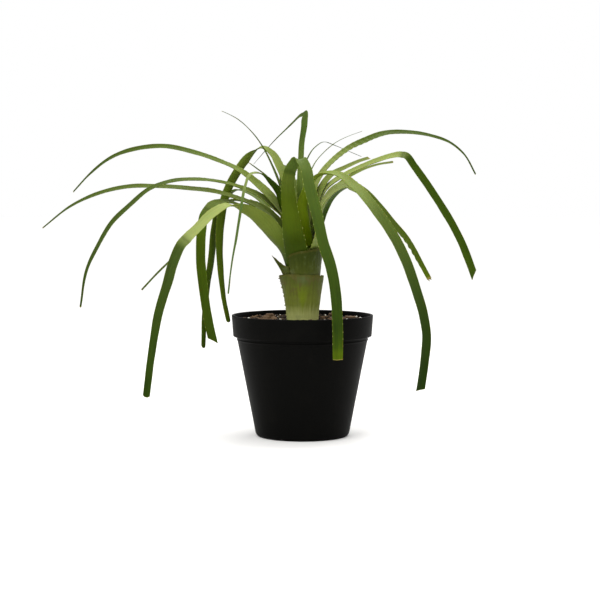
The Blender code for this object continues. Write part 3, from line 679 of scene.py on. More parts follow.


# Leaves. foot is the bearing round the stem in degrees and the height on it in mm, heading the bearing of
# the outer half, wide half of the width at the base, along the strap and at the tip in mm, clasp the length
# over which the base opens out in mm, taper the share of the length at which the leaf starts to narrow,
# turn how far the upper face tips towards the front, as (share, degrees) stops, and route the points that
# the midrib passes (right, back and up, in mm).
# Shares run from 0 at the foot to 1 at the tip. pale, lime, blue and dark are (share, amount) stops of
# colour, and below 0 blue turns to olive; pale is painted sheen where the top light would catch the upper
# face, and dark is painted shade at the crowded foot and on the hanging parts. folds are (share, reach in
# mm), crinkle is (share, spread, height and pitch in mm), cut the shape of the end and its depth in mm, dry
# the length of the dry end in mm, and tooth the size of the marginal teeth in mm.

leafShapes = {
    "leaf_front_folded": dict(
        foot=(250, 157.5), heading=272, wide=(13.5, 5.7, 5.2), clasp=118,
        route=((-6.5, -18.5, 178), (-8, -21.5, 189), (-10, -29, 203), (-12, -30.5, 218),
            (-13.5, -33, 234), (-14, -36.5, 250), (-11, -41, 263), (-3, -48, 272), (3, -57, 263),
            (7, -63, 244), (13, -68, 222), (19, -72, 195), (27, -76, 169), (31, -79, 146),
            (33, -81, 113), (33, -82, 83)),
        pale=((0, 0.05), (0.25, 0.05), (0.31, 0.35), (0.36, 0.3), (0.5, 0.1), (1, 0)),
        lime=((0, 0.1), (0.15, 0.3), (0.3, 0.2), (0.9, 0), (0.965, 0.1), (0.98, 0.35), (1, 0.45)),
        blue=((0, -0.6), (0.32, -0.6), (0.345, 0.6), (0.55, 0.3), (1, 0)),
        dark=((0, 0.7), (0.1, 0.6), (0.2, 0.15), (0.5, 0.15), (0.75, 0.35), (0.9, 0.5), (0.97, 0.15),
            (1, 0.35)), folds=((0.33, 7),), cut=("square", 0.5), dry=1.5, tooth=0.75),
    "leaf_left_kinked": dict(
        foot=(197, 166.5), heading=210, wide=(15, 5.2, 3.6), clasp=98, slot="leaf_pale",
        turn=((0, 0), (0.07, -15), (0.16, -45), (0.25, -50), (0.32, 20), (0.38, 45), (1, 55)),
        route=((-19, -7.5, 182.5), (-27, -10.5, 197), (-36, -15.5, 209.5), (-47, -24, 219),
            (-58, -32, 225), (-70, -40, 228), (-85, -50, 221), (-101, -60, 205), (-114, -66, 192),
            (-121, -69, 177), (-127, -72, 156), (-136, -76, 125), (-142, -80, 89), (-147, -84, 48)),
        pale=((0, 0), (0.06, 0.15), (0.14, 0.6), (0.3, 0.75), (0.48, 0.8), (0.53, 0.1), (1, 0)),
        lime=((0, 0.1), (0.08, 0.5), (0.2, 0.65), (0.45, 0.4), (0.55, 0), (1, 0)),
        blue=((0, -0.3), (0.25, -0.6), (0.5, 0), (1, 0)),
        dark=((0, 0.5), (0.08, 0.3), (0.16, 0), (0.5, 0), (0.53, 0.3), (1, 0.5)), folds=((0.5, 5),),
        cut=("round", 3), dry=0.6),
    "leaf_left_trimmed": dict(
        foot=(188, 172.5), heading=205, wide=(9, 5.2, 4.6), clasp=85,
        turn=((0, 0), (0.08, -15), (0.2, -35), (0.3, 0), (0.45, 40), (1, 62)),
        route=((-27, -6, 201), (-39, -8, 215.5), (-56, -9.5, 225.5), (-74, -18.5, 231), (-88, -26, 228),
            (-94, -30, 220), (-97, -32, 204), (-98, -33, 180), (-96, -34, 153), (-92, -35, 123),
            (-86, -36, 94)),
        pale=((0, 0.3), (0.3, 0.35), (0.45, 0.3), (0.5, 0), (1, 0)), lime=((0, 0.5), (0.3, 0.2), (1, 0)),
        blue=((0, 0), (0.45, 0), (0.6, -0.3), (1, -0.3)), folds=((0.46, 5),), cut=("slanted", -7),
        dry=0.8, tooth=0.6),
    "leaf_left_behind": dict(
        foot=(136, 180), heading=165, wide=(7.5, 4.4, 2.6),
        turn=((0, 0), (0.06, 30), (0.25, 35), (0.45, -30), (1, -50)),
        route=((-24, 15.5, 209), (-38, 18, 223), (-56, 22, 231), (-72, 23.5, 232), (-82, 22, 225),
            (-87, 20, 207), (-90, 19, 178), (-95, 18, 144), (-98, 18, 114), (-99, 18, 85)),
        pale=((0, 0.4), (0.4, 0.2), (1, 0)), lime=((0, 0.5), (0.35, 0.2), (1, 0.05)), folds=((0.42, 6),),
        cut=("round", 4), dry=0.8, tooth=0.8),
    "leaf_left_high_fold": dict(
        foot=(162, 206.5), heading=172, wide=(6.5, 4.8, 2.4), slot="leaf_pale",
        turn=((0, 0), (0.06, 45), (0.25, 55), (0.35, 0), (0.4, -58), (1, -62)),
        route=((-9, 6.5, 229), (-15, 9, 247), (-22, 12, 264), (-30, 18, 278), (-41, 18, 285),
            (-53, 18, 276), (-65, 15, 260), (-75, 12, 240), (-80, 10, 218), (-82, 8, 189),
            (-80, 6, 154), (-77, 5, 131), (-73, 4, 112)),
        pale=((0, 0.2), (0.15, 0.45), (0.3, 0.5), (0.4, 0.3), (0.55, 0.1), (1, 0)),
        lime=((0, 0.6), (0.3, 0.4), (0.5, 0.4), (0.7, 0.3), (1, 0.2)),
        dark=((0, 0.2), (0.1, 0), (0.6, 0), (1, 0.15)), folds=((0.35, 6),), cut=("round", 3), dry=0.8),
    "leaf_left_thread": dict(
        foot=(163, 175.5), heading=200, wide=(2.5, 2.2, 1.6), turn=((0, 0), (0.45, 10), (1, 20)),
        route=((-31, 3, 206), (-45, 3, 218), (-61, -3, 226), (-79, -10, 226), (-92, -15, 215),
            (-103, -18, 202), (-116, -20, 187), (-129, -23, 174), (-143, -26, 160), (-156, -30, 146)),
        pale=((0, 0.3), (0.5, 0.1), (1, 0.1)), lime=((0, 0.5), (0.4, 0.2), (1, 0.1)),
        dark=((0, 0), (1, 0.3)), cut=("round", 1.2), dry=0.8, tooth=0.25),
    "leaf_front_hanging": dict(
        foot=(194, 200), heading=222, wide=(7.5, 1.6, 0.8), clasp=105,
        turn=((0, 0), (0.1, -20), (0.2, -35), (0.3, -20), (0.38, 20), (1, 30)),
        route=((-18, -13.5, 225), (-22.5, -11, 239), (-31, -19, 250.5), (-41, -26, 259),
            (-50, -33.5, 258), (-55, -40.5, 246), (-59, -44, 224), (-63, -48, 199), (-67, -51, 176),
            (-71, -56, 144)),
        pale=((0, 0), (0.33, 0), (0.4, 0.8), (0.5, 0.6), (0.58, 0.2), (1, 0.1)),
        lime=((0, 0.3), (0.3, 0), (1, 0)), blue=((0, 0), (0.35, 0.2), (0.5, 0.9), (1, 0.8)),
        dark=((0, 0.5), (0.33, 0.4), (0.4, 0), (1, 0.1)), cut=("round", 1.2), dry=0.8),
    "leaf_left_stub": dict(
        foot=(188, 202), heading=190, wide=(4, 2.8, 1.4), clasp=50, turn=((0, 0), (0.45, 10), (1, 20)),
        route=((-19, -5, 229), (-27, -5, 246), (-36, -6, 257), (-45, -7, 264), (-53, -8, 270)),
        blue=((0, -0.3), (1, -0.6)), cut=("torn", 1.5), dry=4, tooth=0.6),
    "leaf_left_whip": dict(
        foot=(187, 204), heading=184, wide=(5.5, 2.8, 0.5), taper=0.15,
        turn=((0, 0), (0.45, 25), (1, 30)),
        route=((-17, -1.5, 231), (-24, -3, 252), (-31, -4, 269), (-39, -5, 285), (-50, -6, 300),
            (-63, -7, 312), (-72, -8, 317), (-79, -9, 320)), lime=((0, 0.4), (0.3, 0.05), (1, 0.1)),
        tooth=0.4),
    "leaf_left_upper": dict(
        foot=(204, 194.5), heading=165, wide=(12, 4, 1.5), clasp=98, taper=0.7, slot="leaf_pale",
        turn=((0, 0), (0.08, 28), (0.2, 34), (0.35, 22), (0.6, 35), (1, 45)),
        route=((-21, -5.5, 221), (-33, -8, 237), (-46, -5.5, 249.5), (-62, -5, 262), (-84, 0.5, 272),
            (-108, 8, 280), (-137, 18, 286), (-165, 27, 284), (-193, 37, 275), (-215, 45, 259),
            (-233, 52, 241)),
        pale=((0, 0.3), (0.1, 0.5), (0.22, 0.4), (0.4, 0.12), (0.8, 0.08), (1, 0.05)),
        lime=((0, 0.6), (0.3, 0.45), (0.5, 0.3), (1, 0.1)),
        dark=((0, 0), (0.3, 0), (0.5, 0.25), (1, 0.5)), dry=1.5),
    "leaf_left_middle": dict(
        foot=(200, 184), heading=198, wide=(12.5, 3.7, 1.5), clasp=98, taper=0.7,
        turn=((0, 0), (0.08, 28), (0.2, 34), (0.35, 22), (1, 30)),
        route=((-21.5, -4, 219), (-31, -11, 227.5), (-44, -11, 238), (-60, -13, 245), (-82, -15, 251),
            (-105, -24, 253), (-127, -33, 251), (-146, -41, 244), (-164, -48, 229), (-181, -54, 212),
            (-194, -60, 190), (-204, -65, 168), (-210, -70, 132)),
        pale=((0, 0.3), (0.1, 0.5), (0.25, 0.35), (0.4, 0.15), (0.7, 0.1), (1, 0.05)),
        lime=((0, 0.6), (0.3, 0.4), (0.6, 0.1), (1, 0.05)),
        dark=((0, 0), (0.3, 0.1), (0.5, 0.25), (1, 0.5)), dry=1.5),
    "leaf_left_lower": dict(
        foot=(213, 177.5), heading=187, wide=(10, 4.2, 1.5), clasp=98, taper=0.7, slot="leaf_pale",
        turn=((0, 0), (0.1, 25), (0.3, 28), (0.45, 28), (1, 25)),
        route=((-15.5, -8, 187.5), (-28, -0.5, 211), (-45, -5, 226), (-65, -13.5, 235), (-85, -18, 241),
            (-109, -20.5, 244), (-138, -20, 246), (-167, -20, 246), (-196, -22, 240), (-225, -24, 227),
            (-252, -27, 206)),
        pale=((0, 0.3), (0.12, 0.5), (0.3, 0.4), (0.5, 0.2), (0.8, 0.1), (1, 0.05)),
        lime=((0, 0.6), (0.3, 0.45), (0.6, 0.35), (1, 0.1)),
        dark=((0, 0), (0.3, 0.1), (0.5, 0.25), (1, 0.5)), dry=1.5),
    "leaf_tall_folded": dict(
        foot=(109, 215.5), heading=105, wide=(3.6, 3.3, 0.8),
        turn=((0, 0), (0.5, 0), (0.6, 68), (1, 72)),
        route=((-3, 2, 243), (-2, 6, 267), (-1, 8, 290), (2, 8, 310), (3, 13, 319), (-1, 16, 317),
            (-11, 20, 308), (-29, 26, 291), (-40, 30, 279), (-49, 33, 269)),
        blue=((0, 0.6), (0.5, 0.5), (0.6, 0), (1, 0)), folds=((0.6, 3),), tooth=0.3),
    "leaf_right_cascade": dict(
        foot=(288, 187.5), heading=318, wide=(9, 6, 5.2), turn=((0, 0), (0.45, 24), (1, 16)),
        route=((1.5, -15.5, 213), (2, -12.5, 231), (7, -15, 246), (17, -19, 257), (32, -27, 258),
            (49, -37, 247), (66, -50, 228), (82, -62, 205), (96, -73, 178), (105, -82, 152),
            (112, -89, 127), (115, -92, 107), (113, -94, 83), (109, -96, 55)),
        pale=((0, 0), (0.15, 0.1), (0.27, 0.55), (0.36, 0.5), (0.48, 0.2), (1, 0)),
        lime=((0, 1), (0.2, 0.9), (0.3, 0.4), (0.45, 0.2), (0.7, 0.05), (1, 0)),
        blue=((0, -0.5), (0.25, 0.2), (1, 0)),
        dark=((0, 0), (0.35, 0), (0.6, 0.4), (0.8, 0.75), (1, 0.95)), cut=("slanted", 3), dry=0.8),
    "leaf_right_crimped": dict(
        foot=(326, 171.5), heading=345, wide=(14, 5.4, 2.8), clasp=155, slot="leaf_pale",
        turn=((0, 0), (0.1, 20), (0.2, 30), (0.35, 35), (0.6, 30), (1, 48)),
        route=((15, -7, 186), (17, -20, 205.5), (20, -14, 224), (26, -14, 236), (34, -17, 244),
            (44, -14, 247), (56, -15, 242), (72, -16, 228), (88, -19, 210), (101, -22, 195),
            (108, -24, 184), (114, -26, 173), (124, -30, 155)),
        pale=((0, 0.6), (0.1, 0.95), (0.3, 1), (0.42, 0.5), (0.55, 0.1), (1, 0)),
        lime=((0, 0.6), (0.3, 0.4), (0.6, 0.1), (0.9, 0.2), (1, 0.5)), blue=((0, -0.3), (1, -0.2)),
        dark=((0, 0), (0.5, 0), (1, 0.2)), crinkle=((0.83, 0.07, 0.45, 7),), cut=("torn", 2), dry=6,
        tooth=0.6),
    "leaf_right_arch": dict(
        foot=(46, 201), heading=22, wide=(6.5, 4.6, 1.6), turn=((0, 0), (0.45, 30), (0.7, 30), (1, 55)),
        route=((8, 8, 230), (13, 12, 247), (21, 16, 261), (31, 21, 272), (46, 27, 284), (62, 33, 292),
            (80, 39, 299), (105, 47, 301), (130, 55, 298), (151, 61, 291), (165, 66, 280),
            (178, 71, 259)),
        pale=((0, 0.6), (0.3, 0.7), (0.45, 0.12), (0.6, 0.05), (1, 0)),
        lime=((0, 0.5), (0.3, 0.35), (0.6, 0.25), (1, 0.1)),
        dark=((0, 0.3), (0.08, 0.2), (0.2, 0), (0.38, 0), (0.5, 0.3), (1, 0.4)),
        crinkle=((0.38, 0.13, 0.25, 6),), dry=1, tooth=0.2),
    "leaf_right_back_thread": dict(
        foot=(105, 211.5), heading=40, wide=(1, 1, 0.5),
        route=((-1, 8.5, 243), (2, 15, 266), (7, 18, 278), (12, 24, 285), (21, 29, 291), (32, 36, 288),
            (45, 44, 283), (60, 52, 277)), blue=((0, 0.3), (1, 0.3)), cut=("round", 0.6), tooth=0.15),
    "leaf_right_hair": dict(
        foot=(36, 208), heading=35, wide=(1.7, 0.8, 0.45),
        route=((4, 5, 238), (7, 9, 257), (12, 13, 269), (22, 18, 281), (36, 24, 292), (49, 29, 298),
            (60, 34, 302)), lime=((0, 0.4), (0.5, 0.3), (1, 0.2)), cut=("round", 0.6), tooth=0.15),
    "leaf_right_kinked": dict(
        foot=(2, 182), heading=-15, wide=(8, 4.4, 4.2), clasp=115, slot="leaf_pale",
        turn=((0, 0), (0.1, 20), (0.3, 30), (0.45, 35), (0.55, 50), (1, 58)),
        route=((15, 9, 224), (24, 6.5, 244), (41, 1, 257), (57, -2, 265), (72, -7.5, 271),
            (88, -13.5, 276), (99, -17, 277), (108, -20, 266), (118, -23, 252), (130, -26, 234),
            (141, -29, 216), (154, -32, 191), (167, -36, 157)),
        pale=((0, 0.5), (0.08, 0.8), (0.2, 0.9), (0.32, 0.6), (0.5, 0.55), (0.54, 0), (1, 0)),
        lime=((0, 0.6), (0.48, 0.5), (0.54, 0.1), (1, 0.1)),
        dark=((0, 0.2), (0.1, 0), (0.5, 0), (0.54, 0.3), (1, 0.3)), folds=((0.515, 4),),
        cut=("slanted", 8), dry=0.8, tooth=0.4),
    "leaf_right_sliver": dict(
        foot=(335, 198.5), heading=345, wide=(2, 2.4, 1.6), clasp=60, slot="leaf_pale",
        turn=((0, 0), (0.35, 20), (0.6, 45), (1, 45)),
        route=((16.5, -1.5, 222), (26, 0, 240), (40, -6.5, 252), (55, -13, 261), (71, -19, 267),
            (88, -25, 270)),
        pale=((0, 0.3), (0.6, 0.35), (1, 0.5)), lime=((0, 0.7), (1, 0.4)), tooth=0.3),
    "leaf_right_short": dict(
        foot=(30, 195), heading=5, wide=(6, 3.4, 2.2), clasp=90, slot="leaf_pale",
        turn=((0, 0), (0.35, 25), (0.6, 45), (1, 45)),
        route=((12, 9.5, 225), (19, 10, 245), (29, 10, 258), (42, 9, 265), (55, 9, 271), (67, 9, 275)),
        pale=((0, 0.4), (0.6, 0.45), (1, 0.7)), lime=((0, 0.6), (1, 0.5)), cut=("slanted", 2), tooth=0.3),
    "leaf_back_long": dict(
        foot=(96, 167), heading=93, wide=(10, 5, 1.4),
        route=((-4, 30, 197), (-5, 46, 223), (-7, 66, 244), (-9, 90, 253), (-11, 114, 248),
            (-12, 134, 231), (-12, 149, 205), (-11, 159, 173), (-9, 165, 137), (-8, 168, 101)),
        cut=("round", 2), dry=4, tooth=0.7),
    "leaf_back_left": dict(
        foot=(122, 175), heading=128, wide=(7.5, 3.6, 2.8), slot="leaf_pale",
        route=((-17, 20.5, 198), (-29, 36, 215), (-41, 52, 230), (-54, 68, 239), (-68, 83.5, 243),
            (-79, 96, 235), (-85, 101, 215), (-87, 103, 185), (-85, 103, 149), (-82, 102, 125)),
        folds=((0.55, 6),), cut=("slanted", 4), dry=3, tooth=0.6),
    "leaf_back_right": dict(
        foot=(56, 174), heading=60, wide=(9.5, 4.6, 3.8),
        route=((14, 22, 201), (22, 37, 220), (31, 53, 235), (41, 68, 243.5), (52, 84, 247.5)),
        pale=((0, 0), (1, 0)), lime=((0, 0.1), (1, 0)), cut=("slanted", -4), dry=1),
    "leaf_back_inner": dict(
        foot=(105, 184), heading=100, wide=(8, 4.2, 0.8), slot="leaf_pale",
        route=((-7, 19.5, 219), (-9, 35, 242), (-12, 48, 258), (-15, 64, 267), (-18, 85, 267),
            (-20, 106, 259), (-21, 124, 241), (-22, 138, 215), (-22, 147, 186)), dry=4, tooth=0.6),
    "leaf_back_upright": dict(
        foot=(72, 187), heading=86, wide=(6.5, 3.8, 0.8),
        route=((3, 17.5, 228), (3, 29, 248), (3, 41, 261), (3, 58, 267), (3, 77, 265), (4, 98, 255),
            (5, 117, 237), (6, 132, 214)), dry=4),
}

# what a leaf has where its own entry doesn't say otherwise
plainLeaf = dict(
    clasp=78, taper=0.55, slot="leaf_green", turn=((0, 0), (1, 0)),
    # pale stops: painted sheen, where the top light would catch the upper face
    pale=((0, 0.1), (0.25, 0.25), (0.5, 0.1), (1, 0.05)),
    lime=((0, 0.2), (0.2, 0.3), (0.45, 0.08), (1, 0.02)), blue=((0, 0), (1, 0)),
    # dark stops: painted shade, at the crowded foot and on the hanging parts towards the tip
    dark=((0, 0.45), (0.08, 0.35), (0.2, 0), (0.5, 0), (0.75, 0.2), (1, 0.4)),
    folds=(), crinkle=(), cut=("round", 1), dry=2, tooth=0.5)

# toothPitch is in mm, and channel and baseChannel are shares of the half width. widthWanders is (share,
# pitch), wave and ribs are (height, pitch), and crease is (depth, width).
leafFacts = {
    "seed": 100,
    "columns": 28,
    "pitch": 0.8 * mm,
    "thickness": 1.2 * mm,
    "footGap": 0.95 * mm,
    "channel": 0.3,
    "baseChannel": 0.5,
    "flattens": (40 * mm, 120 * mm),
    "widthWanders": (0.035, 60 * mm),
    "wave": (0.35 * mm, 38 * mm),
    "ribs": (0.05 * mm, 0.5 * mm),
    "crease": (0.25 * mm, 0.9 * mm),
    "toothLength": 2.3 * mm,
    "toothPitch": (4.5, 8.5),
    "toothShift": 2.1 * mm,
    "toothSizes": (0.6, 1.1),
    "toothLean": 0.6,
    "midribStep": 0.5 * mm,
    "leastCurl": 2.0,
}

leafColours = {
    "deep": tone(24, 42, 0),
    "green": tone(52, 76, 2),
    "blue": tone(52, 84, 30),
    "olive": tone(72, 86, 0),
    # the colour of the painted sheen on the upper faces
    "pale": tone(158, 168, 100),
    "lime": tone(112, 132, 0),
    "under": tone(54, 70, 2),
    "dry": tone(122, 116, 52),
    "burnt": tone(84, 76, 36),
    "tooth": tone(150, 160, 90),
}


def curveThrough(points, samples=60):
    # cubic spans between the points, whose slopes come from the neighbouring points
    points = np.asarray(points, float)
    steps = np.linalg.norm(np.diff(points, axis=0), axis=1)
    at = np.concatenate([[0], np.cumsum(steps)])
    slopes = np.gradient(points, at, axis=0, edge_order=1)
    t = np.linspace(0, 1, samples, endpoint=False)[None, :, None]
    start, end, span = points[:-1, None], points[1:, None], steps[:, None, None]
    line = (
        (2 * t**3 - 3 * t**2 + 1) * start
        + (t**3 - 2 * t**2 + t) * span * slopes[:-1, None]
        + (3 * t**2 - 2 * t**3) * end
        + (t**3 - t**2) * span * slopes[1:, None]
    )
    return np.vstack([line.reshape(-1, 3), points[-1]])


def evenSteps(line, step):
    along = np.concatenate([[0], np.cumsum(np.linalg.norm(np.diff(line, axis=0), axis=1))])
    where = np.linspace(0, along[-1], int(round(along[-1] / step)) + 1)
    return np.stack([np.interp(where, along, line[:, i]) for i in range(3)], axis=1), where


def stops(share, pairs):
    return np.interp(share, [pair[0] for pair in pairs], [pair[1] for pair in pairs])


def cutBack(kind, amount, v, chance):
    # how far short of the tip each place across the leaf ends, in metres; a square cut is only uneven
    if kind == "round":
        back = amount * (1 - np.sqrt(np.clip(1 - v**2, 0, 1)))
    elif kind == "slanted":
        back = abs(amount) * (1 + np.sign(amount) * v) / 2
    elif kind == "torn":
        back = amount * (0.5 + 0.5 * np.sin(7.3 * v + 1.1)) + 0.4 * amount * np.sin(17 * v)
    else:
        back = amount * (0.5 + 0.5 * np.sin(3.1 * v + chance.uniform(0, 6)))
    back = back + 0.12 * wander(v, chance, 0.5, 5)
    return (back - back.min()) * mm


def teeth(along, chance, length):
    # a row of forward-pointing spines: each rises over most of its length and then drops
    low, high = leafFacts["toothPitch"]
    starts = np.cumsum(chance.uniform(low, high, int(length / mm / low) + 2)) * mm
    last = np.clip(np.searchsorted(starts, along) - 1, 0, len(starts) - 1)
    q = (along - starts[last]) / leafFacts["toothLength"]
    size = chance.uniform(*leafFacts["toothSizes"], len(starts))[last]
    rise = np.where((q >= 0) & (q < 1), np.where(q < 0.7, q / 0.7, (1 - q) / 0.3), 0)
    return rise**1.4 * size


def leafLine(leaf):
    # the midrib at close even steps, and what the section needs at each: its two axes, half width and curl
    f = leafFacts
    bearing, height = math.radians(leaf["foot"][0]), leaf["foot"][1] * mm
    radius = stemRadius(height) + f["footGap"]
    foot = (radius * math.cos(bearing), radius * math.sin(bearing), height)
    route = np.vstack([foot, np.array(leaf["route"]) * mm])
    mid, along = evenSteps(curveThrough(route), f["midribStep"])
    share = along / along[-1]
    opened = smooth(along / (leaf["clasp"] * mm))

    base, strap, tip = (value * mm for value in leaf["wide"])
    half = strap + (base - strap) * (1 - opened)
    start = leaf["taper"]
    half = half * (1 - (1 - tip / strap) * smooth((share - start) / (1 - start)))

    heading = bearing + (math.radians(leaf["heading"]) - bearing) * opened
    ahead = unit(np.gradient(mid, axis=0))
    side = np.stack([-np.sin(heading), np.cos(heading), 0 * heading], axis=1)
    side = unit(side - ahead * np.sum(side * ahead, axis=1, keepdims=True))
    upper = np.cross(ahead, side)
    turn = np.radians(stops(share, leaf["turn"]))
    turn = turn * math.copysign(1, math.cos(math.radians(leaf["heading"])))
    cos, sin = np.cos(turn)[:, None], np.sin(turn)[:, None]
    side, upper = side * cos + upper * sin, upper * cos - side * sin

    reach = np.hypot(mid[:, 0], mid[:, 1])
    curl = (1 - opened) * np.abs(ahead[:, 2]) / np.maximum(reach, 3 * mm)
    first, last = f["flattens"]
    flatter = smooth((along - first) / (last - first))
    channel = f["baseChannel"] + (f["channel"] - f["baseChannel"]) * flatter
    for place, width in leaf["folds"]:
        channel = channel * (1 - 0.8 * bell(along, place * along[-1], width * mm))
    curl = curl + opened * 2 * channel / half
    return along, mid, ahead, side, upper, half, np.maximum(curl, f["leastCurl"])


def leafSurface(leaf, chance):
    # at each distance along the midrib, a closed section: v = -cos(a) across it, bent to an arc of the
    # line's curl, with the wall's half thickness laid out along the arc's own normal on both faces
    f = leafFacts
    along, mid, ahead, side, upper, half, curl = leafLine(leaf)
    length, columns = along[-1], f["columns"]
    rows = int(length / f["pitch"])
    turn = 2 * math.pi * np.arange(columns) / columns
    v, face = -np.cos(turn), np.sin(turn)
    back = cutBack(*leaf["cut"], v, chance)
    reach = max(10 * mm, 2.2 * back.max())
    u = np.linspace(0, length, rows)[:, None]
    s = u - smooth((u - length + reach) / reach) * back

    def at(values):
        return np.interp(s, along, values)

    def at3(vectors):
        return np.stack([at(vectors[:, i]) for i in range(3)], -1)

    centre, forward, sideways, outward = at3(mid), at3(ahead), at3(side), at3(upper)
    share = s / length
    width, bend = at(half), at(curl)
    uneven, pitch = f["widthWanders"]
    width = width * (1 + uneven * wander(s, chance, pitch))
    angle = v * width * bend
    across, lift = np.sin(angle) / bend, (1 - np.cos(angle)) / bend

    wall = f["thickness"] * (1 - 0.35 * smooth(share)) * np.clip(width / (3.5 * mm), 0.35, 1)
    ribHeight, ribPitch = f["ribs"]
    ribs = ribHeight * np.cos(v * width / ribPitch) * smooth((width - 2.5 * mm) / (2 * mm))
    out = np.sign(face) * np.abs(face) ** 0.75 * wall / 2 + np.sign(face) * ribs * np.abs(face)
    waveHeight, wavePitch = f["wave"]
    wave = waveHeight * v**2 * wander(s + 0.02 * v, chance, wavePitch) * smooth(s / (70 * mm))
    for place, spread, height, pitch in leaf["crinkle"]:
        ripple = np.sin(2 * math.pi * s / (pitch * mm) + 1.5 * v)
        wave = wave + height * mm * ripple * bell(share, place, spread)
    # crease marks how near each point is to a fold, for the painted shade along it
    crease = np.zeros_like(s)
    creaseDepth, creaseWidth = f["crease"]
    for place, reachMm in leaf["folds"]:
        line = bell(s + 0.5 * mm * v, place * length, creaseWidth)
        crease = np.maximum(crease, bell(s, place * length, reachMm * 0.35 * mm))
        wave = wave - creaseDepth * line
    out = out + wave

    margin = np.abs(v) ** 24
    left, right = teeth(s, chance, length), teeth(s + f["toothShift"], chance, length)
    spine = np.where(v < 0, left, right) * margin
    spine = spine * smooth(s / (25 * mm)) * smooth((length - s) / (18 * mm))
    grown = leaf["tooth"] * mm * (1 - 0.85 * smooth((share - 0.3) / 0.3)) * spine
    across = across + np.sign(v) * grown * np.cos(angle)
    lift = lift + grown * np.abs(np.sin(angle))

    normal = outward * np.cos(angle)[..., None] - sideways * np.sin(angle)[..., None]
    points = centre + sideways * across[..., None] + outward * lift[..., None]
    points = points + normal * out[..., None] + forward * (f["toothLean"] * grown)[..., None]
    dryReach = leaf["dry"] * mm
    values = {
        "along": s,
        "crossing": v * width,
        "across": v + 0 * s,
        "under": np.where(face < 0, 1.0, 0.0) + 0 * s,
        "pale": stops(share, leaf["pale"]),
        "lime": stops(share, leaf["lime"]),
        "blue": stops(share, leaf["blue"]),
        "dark": stops(share, leaf["dark"]),
        "dry": smooth((u - length + dryReach) / dryReach) + 0 * v,
        "tooth": np.clip(spine * 1.5, 0, 1),
        "crease": crease,
    }
    return rows, points, values


def leafFinish(name, paintedSheenStrength):
    # veins, clouds and specks that follow the leaf, with the coats of colour that its own stops call for,
    # painted sheen and painted shade among them
    c = leafColours
    finish = Finish(name, Specular_IOR_Level=0.06, Subsurface_Weight=0.05, Subsurface_Scale=0.002)
    along, crossing, across = (finish.attribute(n) for n in ("along", "crossing", "across"))
    under, pale, lime, blue = (finish.attribute(n) for n in ("under", "pale", "lime", "blue"))
    dry, tooth, crease, dark = (finish.attribute(n) for n in ("dry", "tooth", "crease", "dark"))
    place = finish.place()
    side = crossing + under * 0.05
    veins = finish.noise(finish.vector(side * 1500, along * 14, 0.0), detail=3, roughness=0.55)
    threads = finish.noise(finish.vector(side * 4800, along * 70, 5.0), detail=2)
    clouds = finish.noise(finish.vector(side * 130, along * 42, 9.0), detail=3)
    specks = finish.noise(place, scale=1500, detail=2)

    yellowed = (lime + (clouds - 0.5) * 0.7 * lime).held()
    # painted sheen: the upper face lighter where the top light would catch it, half as much on the underside
    lit = (pale * (paintedSheenStrength + veins * 0.5) + (clouds - 0.5) * 0.3 * pale).held() * (1 - under * 0.5)
    spots = finish.cells(finish.vector(side * 260, along * 150, 2.0))
    spot = (0.16 - spots).rising(0.0, 0.08) * clouds.rising(0.52, 0.66)
    ended = (dry + (veins - 0.5) * 0.9 * dry).rising(0.3, 0.75)
    scorched = (dry + (threads - 0.5) * 0.4).rising(0.88, 1.0)
    colour = finish.coated(
        c["deep"],
        ((veins * 0.75 + clouds * 0.35).rising(0.3, 0.75), c["green"]),
        (blue.held() * 0.85, c["blue"]),
        ((blue * -1).held() * 0.85, c["olive"]),
        (yellowed * (0.55 + veins * 0.5), c["lime"]),
        (lit, c["pale"]),
        (under * (0.2 + specks.rising(0.45, 0.7) * 0.2), c["under"]),
        # painted shade: darker at the crowded foot and on the hanging parts
        (dark * (0.7 + clouds * 0.6), c["deep"]),
        (across.size().rising(0.90, 0.99) * 0.25, c["lime"]),
        (tooth.rising(0.15, 0.6) * 0.8, c["tooth"]),
        # painted shade along each fold
        (crease * 0.35, c["deep"]),
        (spot * 0.15, c["burnt"]),
        (ended, c["dry"]),
        (scorched * 0.7, c["burnt"]),
    )
    roughness = 0.36 + veins * 0.14 + specks * 0.08 + under * 0.1 + ended * 0.2
    finish.wear(Base_Color=colour, Roughness=roughness)
    finish.bump(veins + threads * 0.5 + clouds * 0.4, 0.16 * mm, 0.7)
    return finish


def makeLeaves():
    # two copies of one leaf finish: the second carries stronger painted sheen
    finishes = {
        "leaf_green": leafFinish("leafGreen", 0.45),
        "leaf_pale": leafFinish("leafPale", 0.6),
    }
    columns, total = leafFacts["columns"], 0
    for i, (node, shape) in enumerate(leafShapes.items()):
        leaf = {**plainLeaf, **shape}
        rows, points, values = leafSurface(leaf, np.random.default_rng(leafFacts["seed"] + i))
        faces = [face[::-1] for face in sleeveFaces(rows, columns)]
        slot, layout = leaf["slot"], bandLayout(rows, columns)
        makePiece(camel(node), points, faces, finishes[slot], [node], values, layout)
        total += 2 * rows * columns
    report(f"leaves grown, {total} triangles")


makeLeaves()


# Soil and what lies on it

soilFacts = {
    "top": 115 * mm,
    "meanDrop": 0.6 * mm,
    "radius": 65 * mm,
    "narrows": 103 * mm,
    "collarFoot": (16.2 * mm, 109 * mm),
    "collarTop": 17.4 * mm,
    "shoulderDrop": 3 * mm,
    "ballEdge": 2 * mm,
    "steps": 300,
    "bands": 120,
    "strewnFrom": 22 * mm,
    "strewnTo": 63 * mm,
    "strewnOverRim": 1.5 * mm,
    "dark": tone(24, 18, 13),
    "brown": tone(52, 38, 26),
    "tan": tone(80, 58, 36),
    "pink": tone(114, 88, 62),
    "white": tone(206, 202, 188),
    "chalk": tone(240, 238, 230),
}

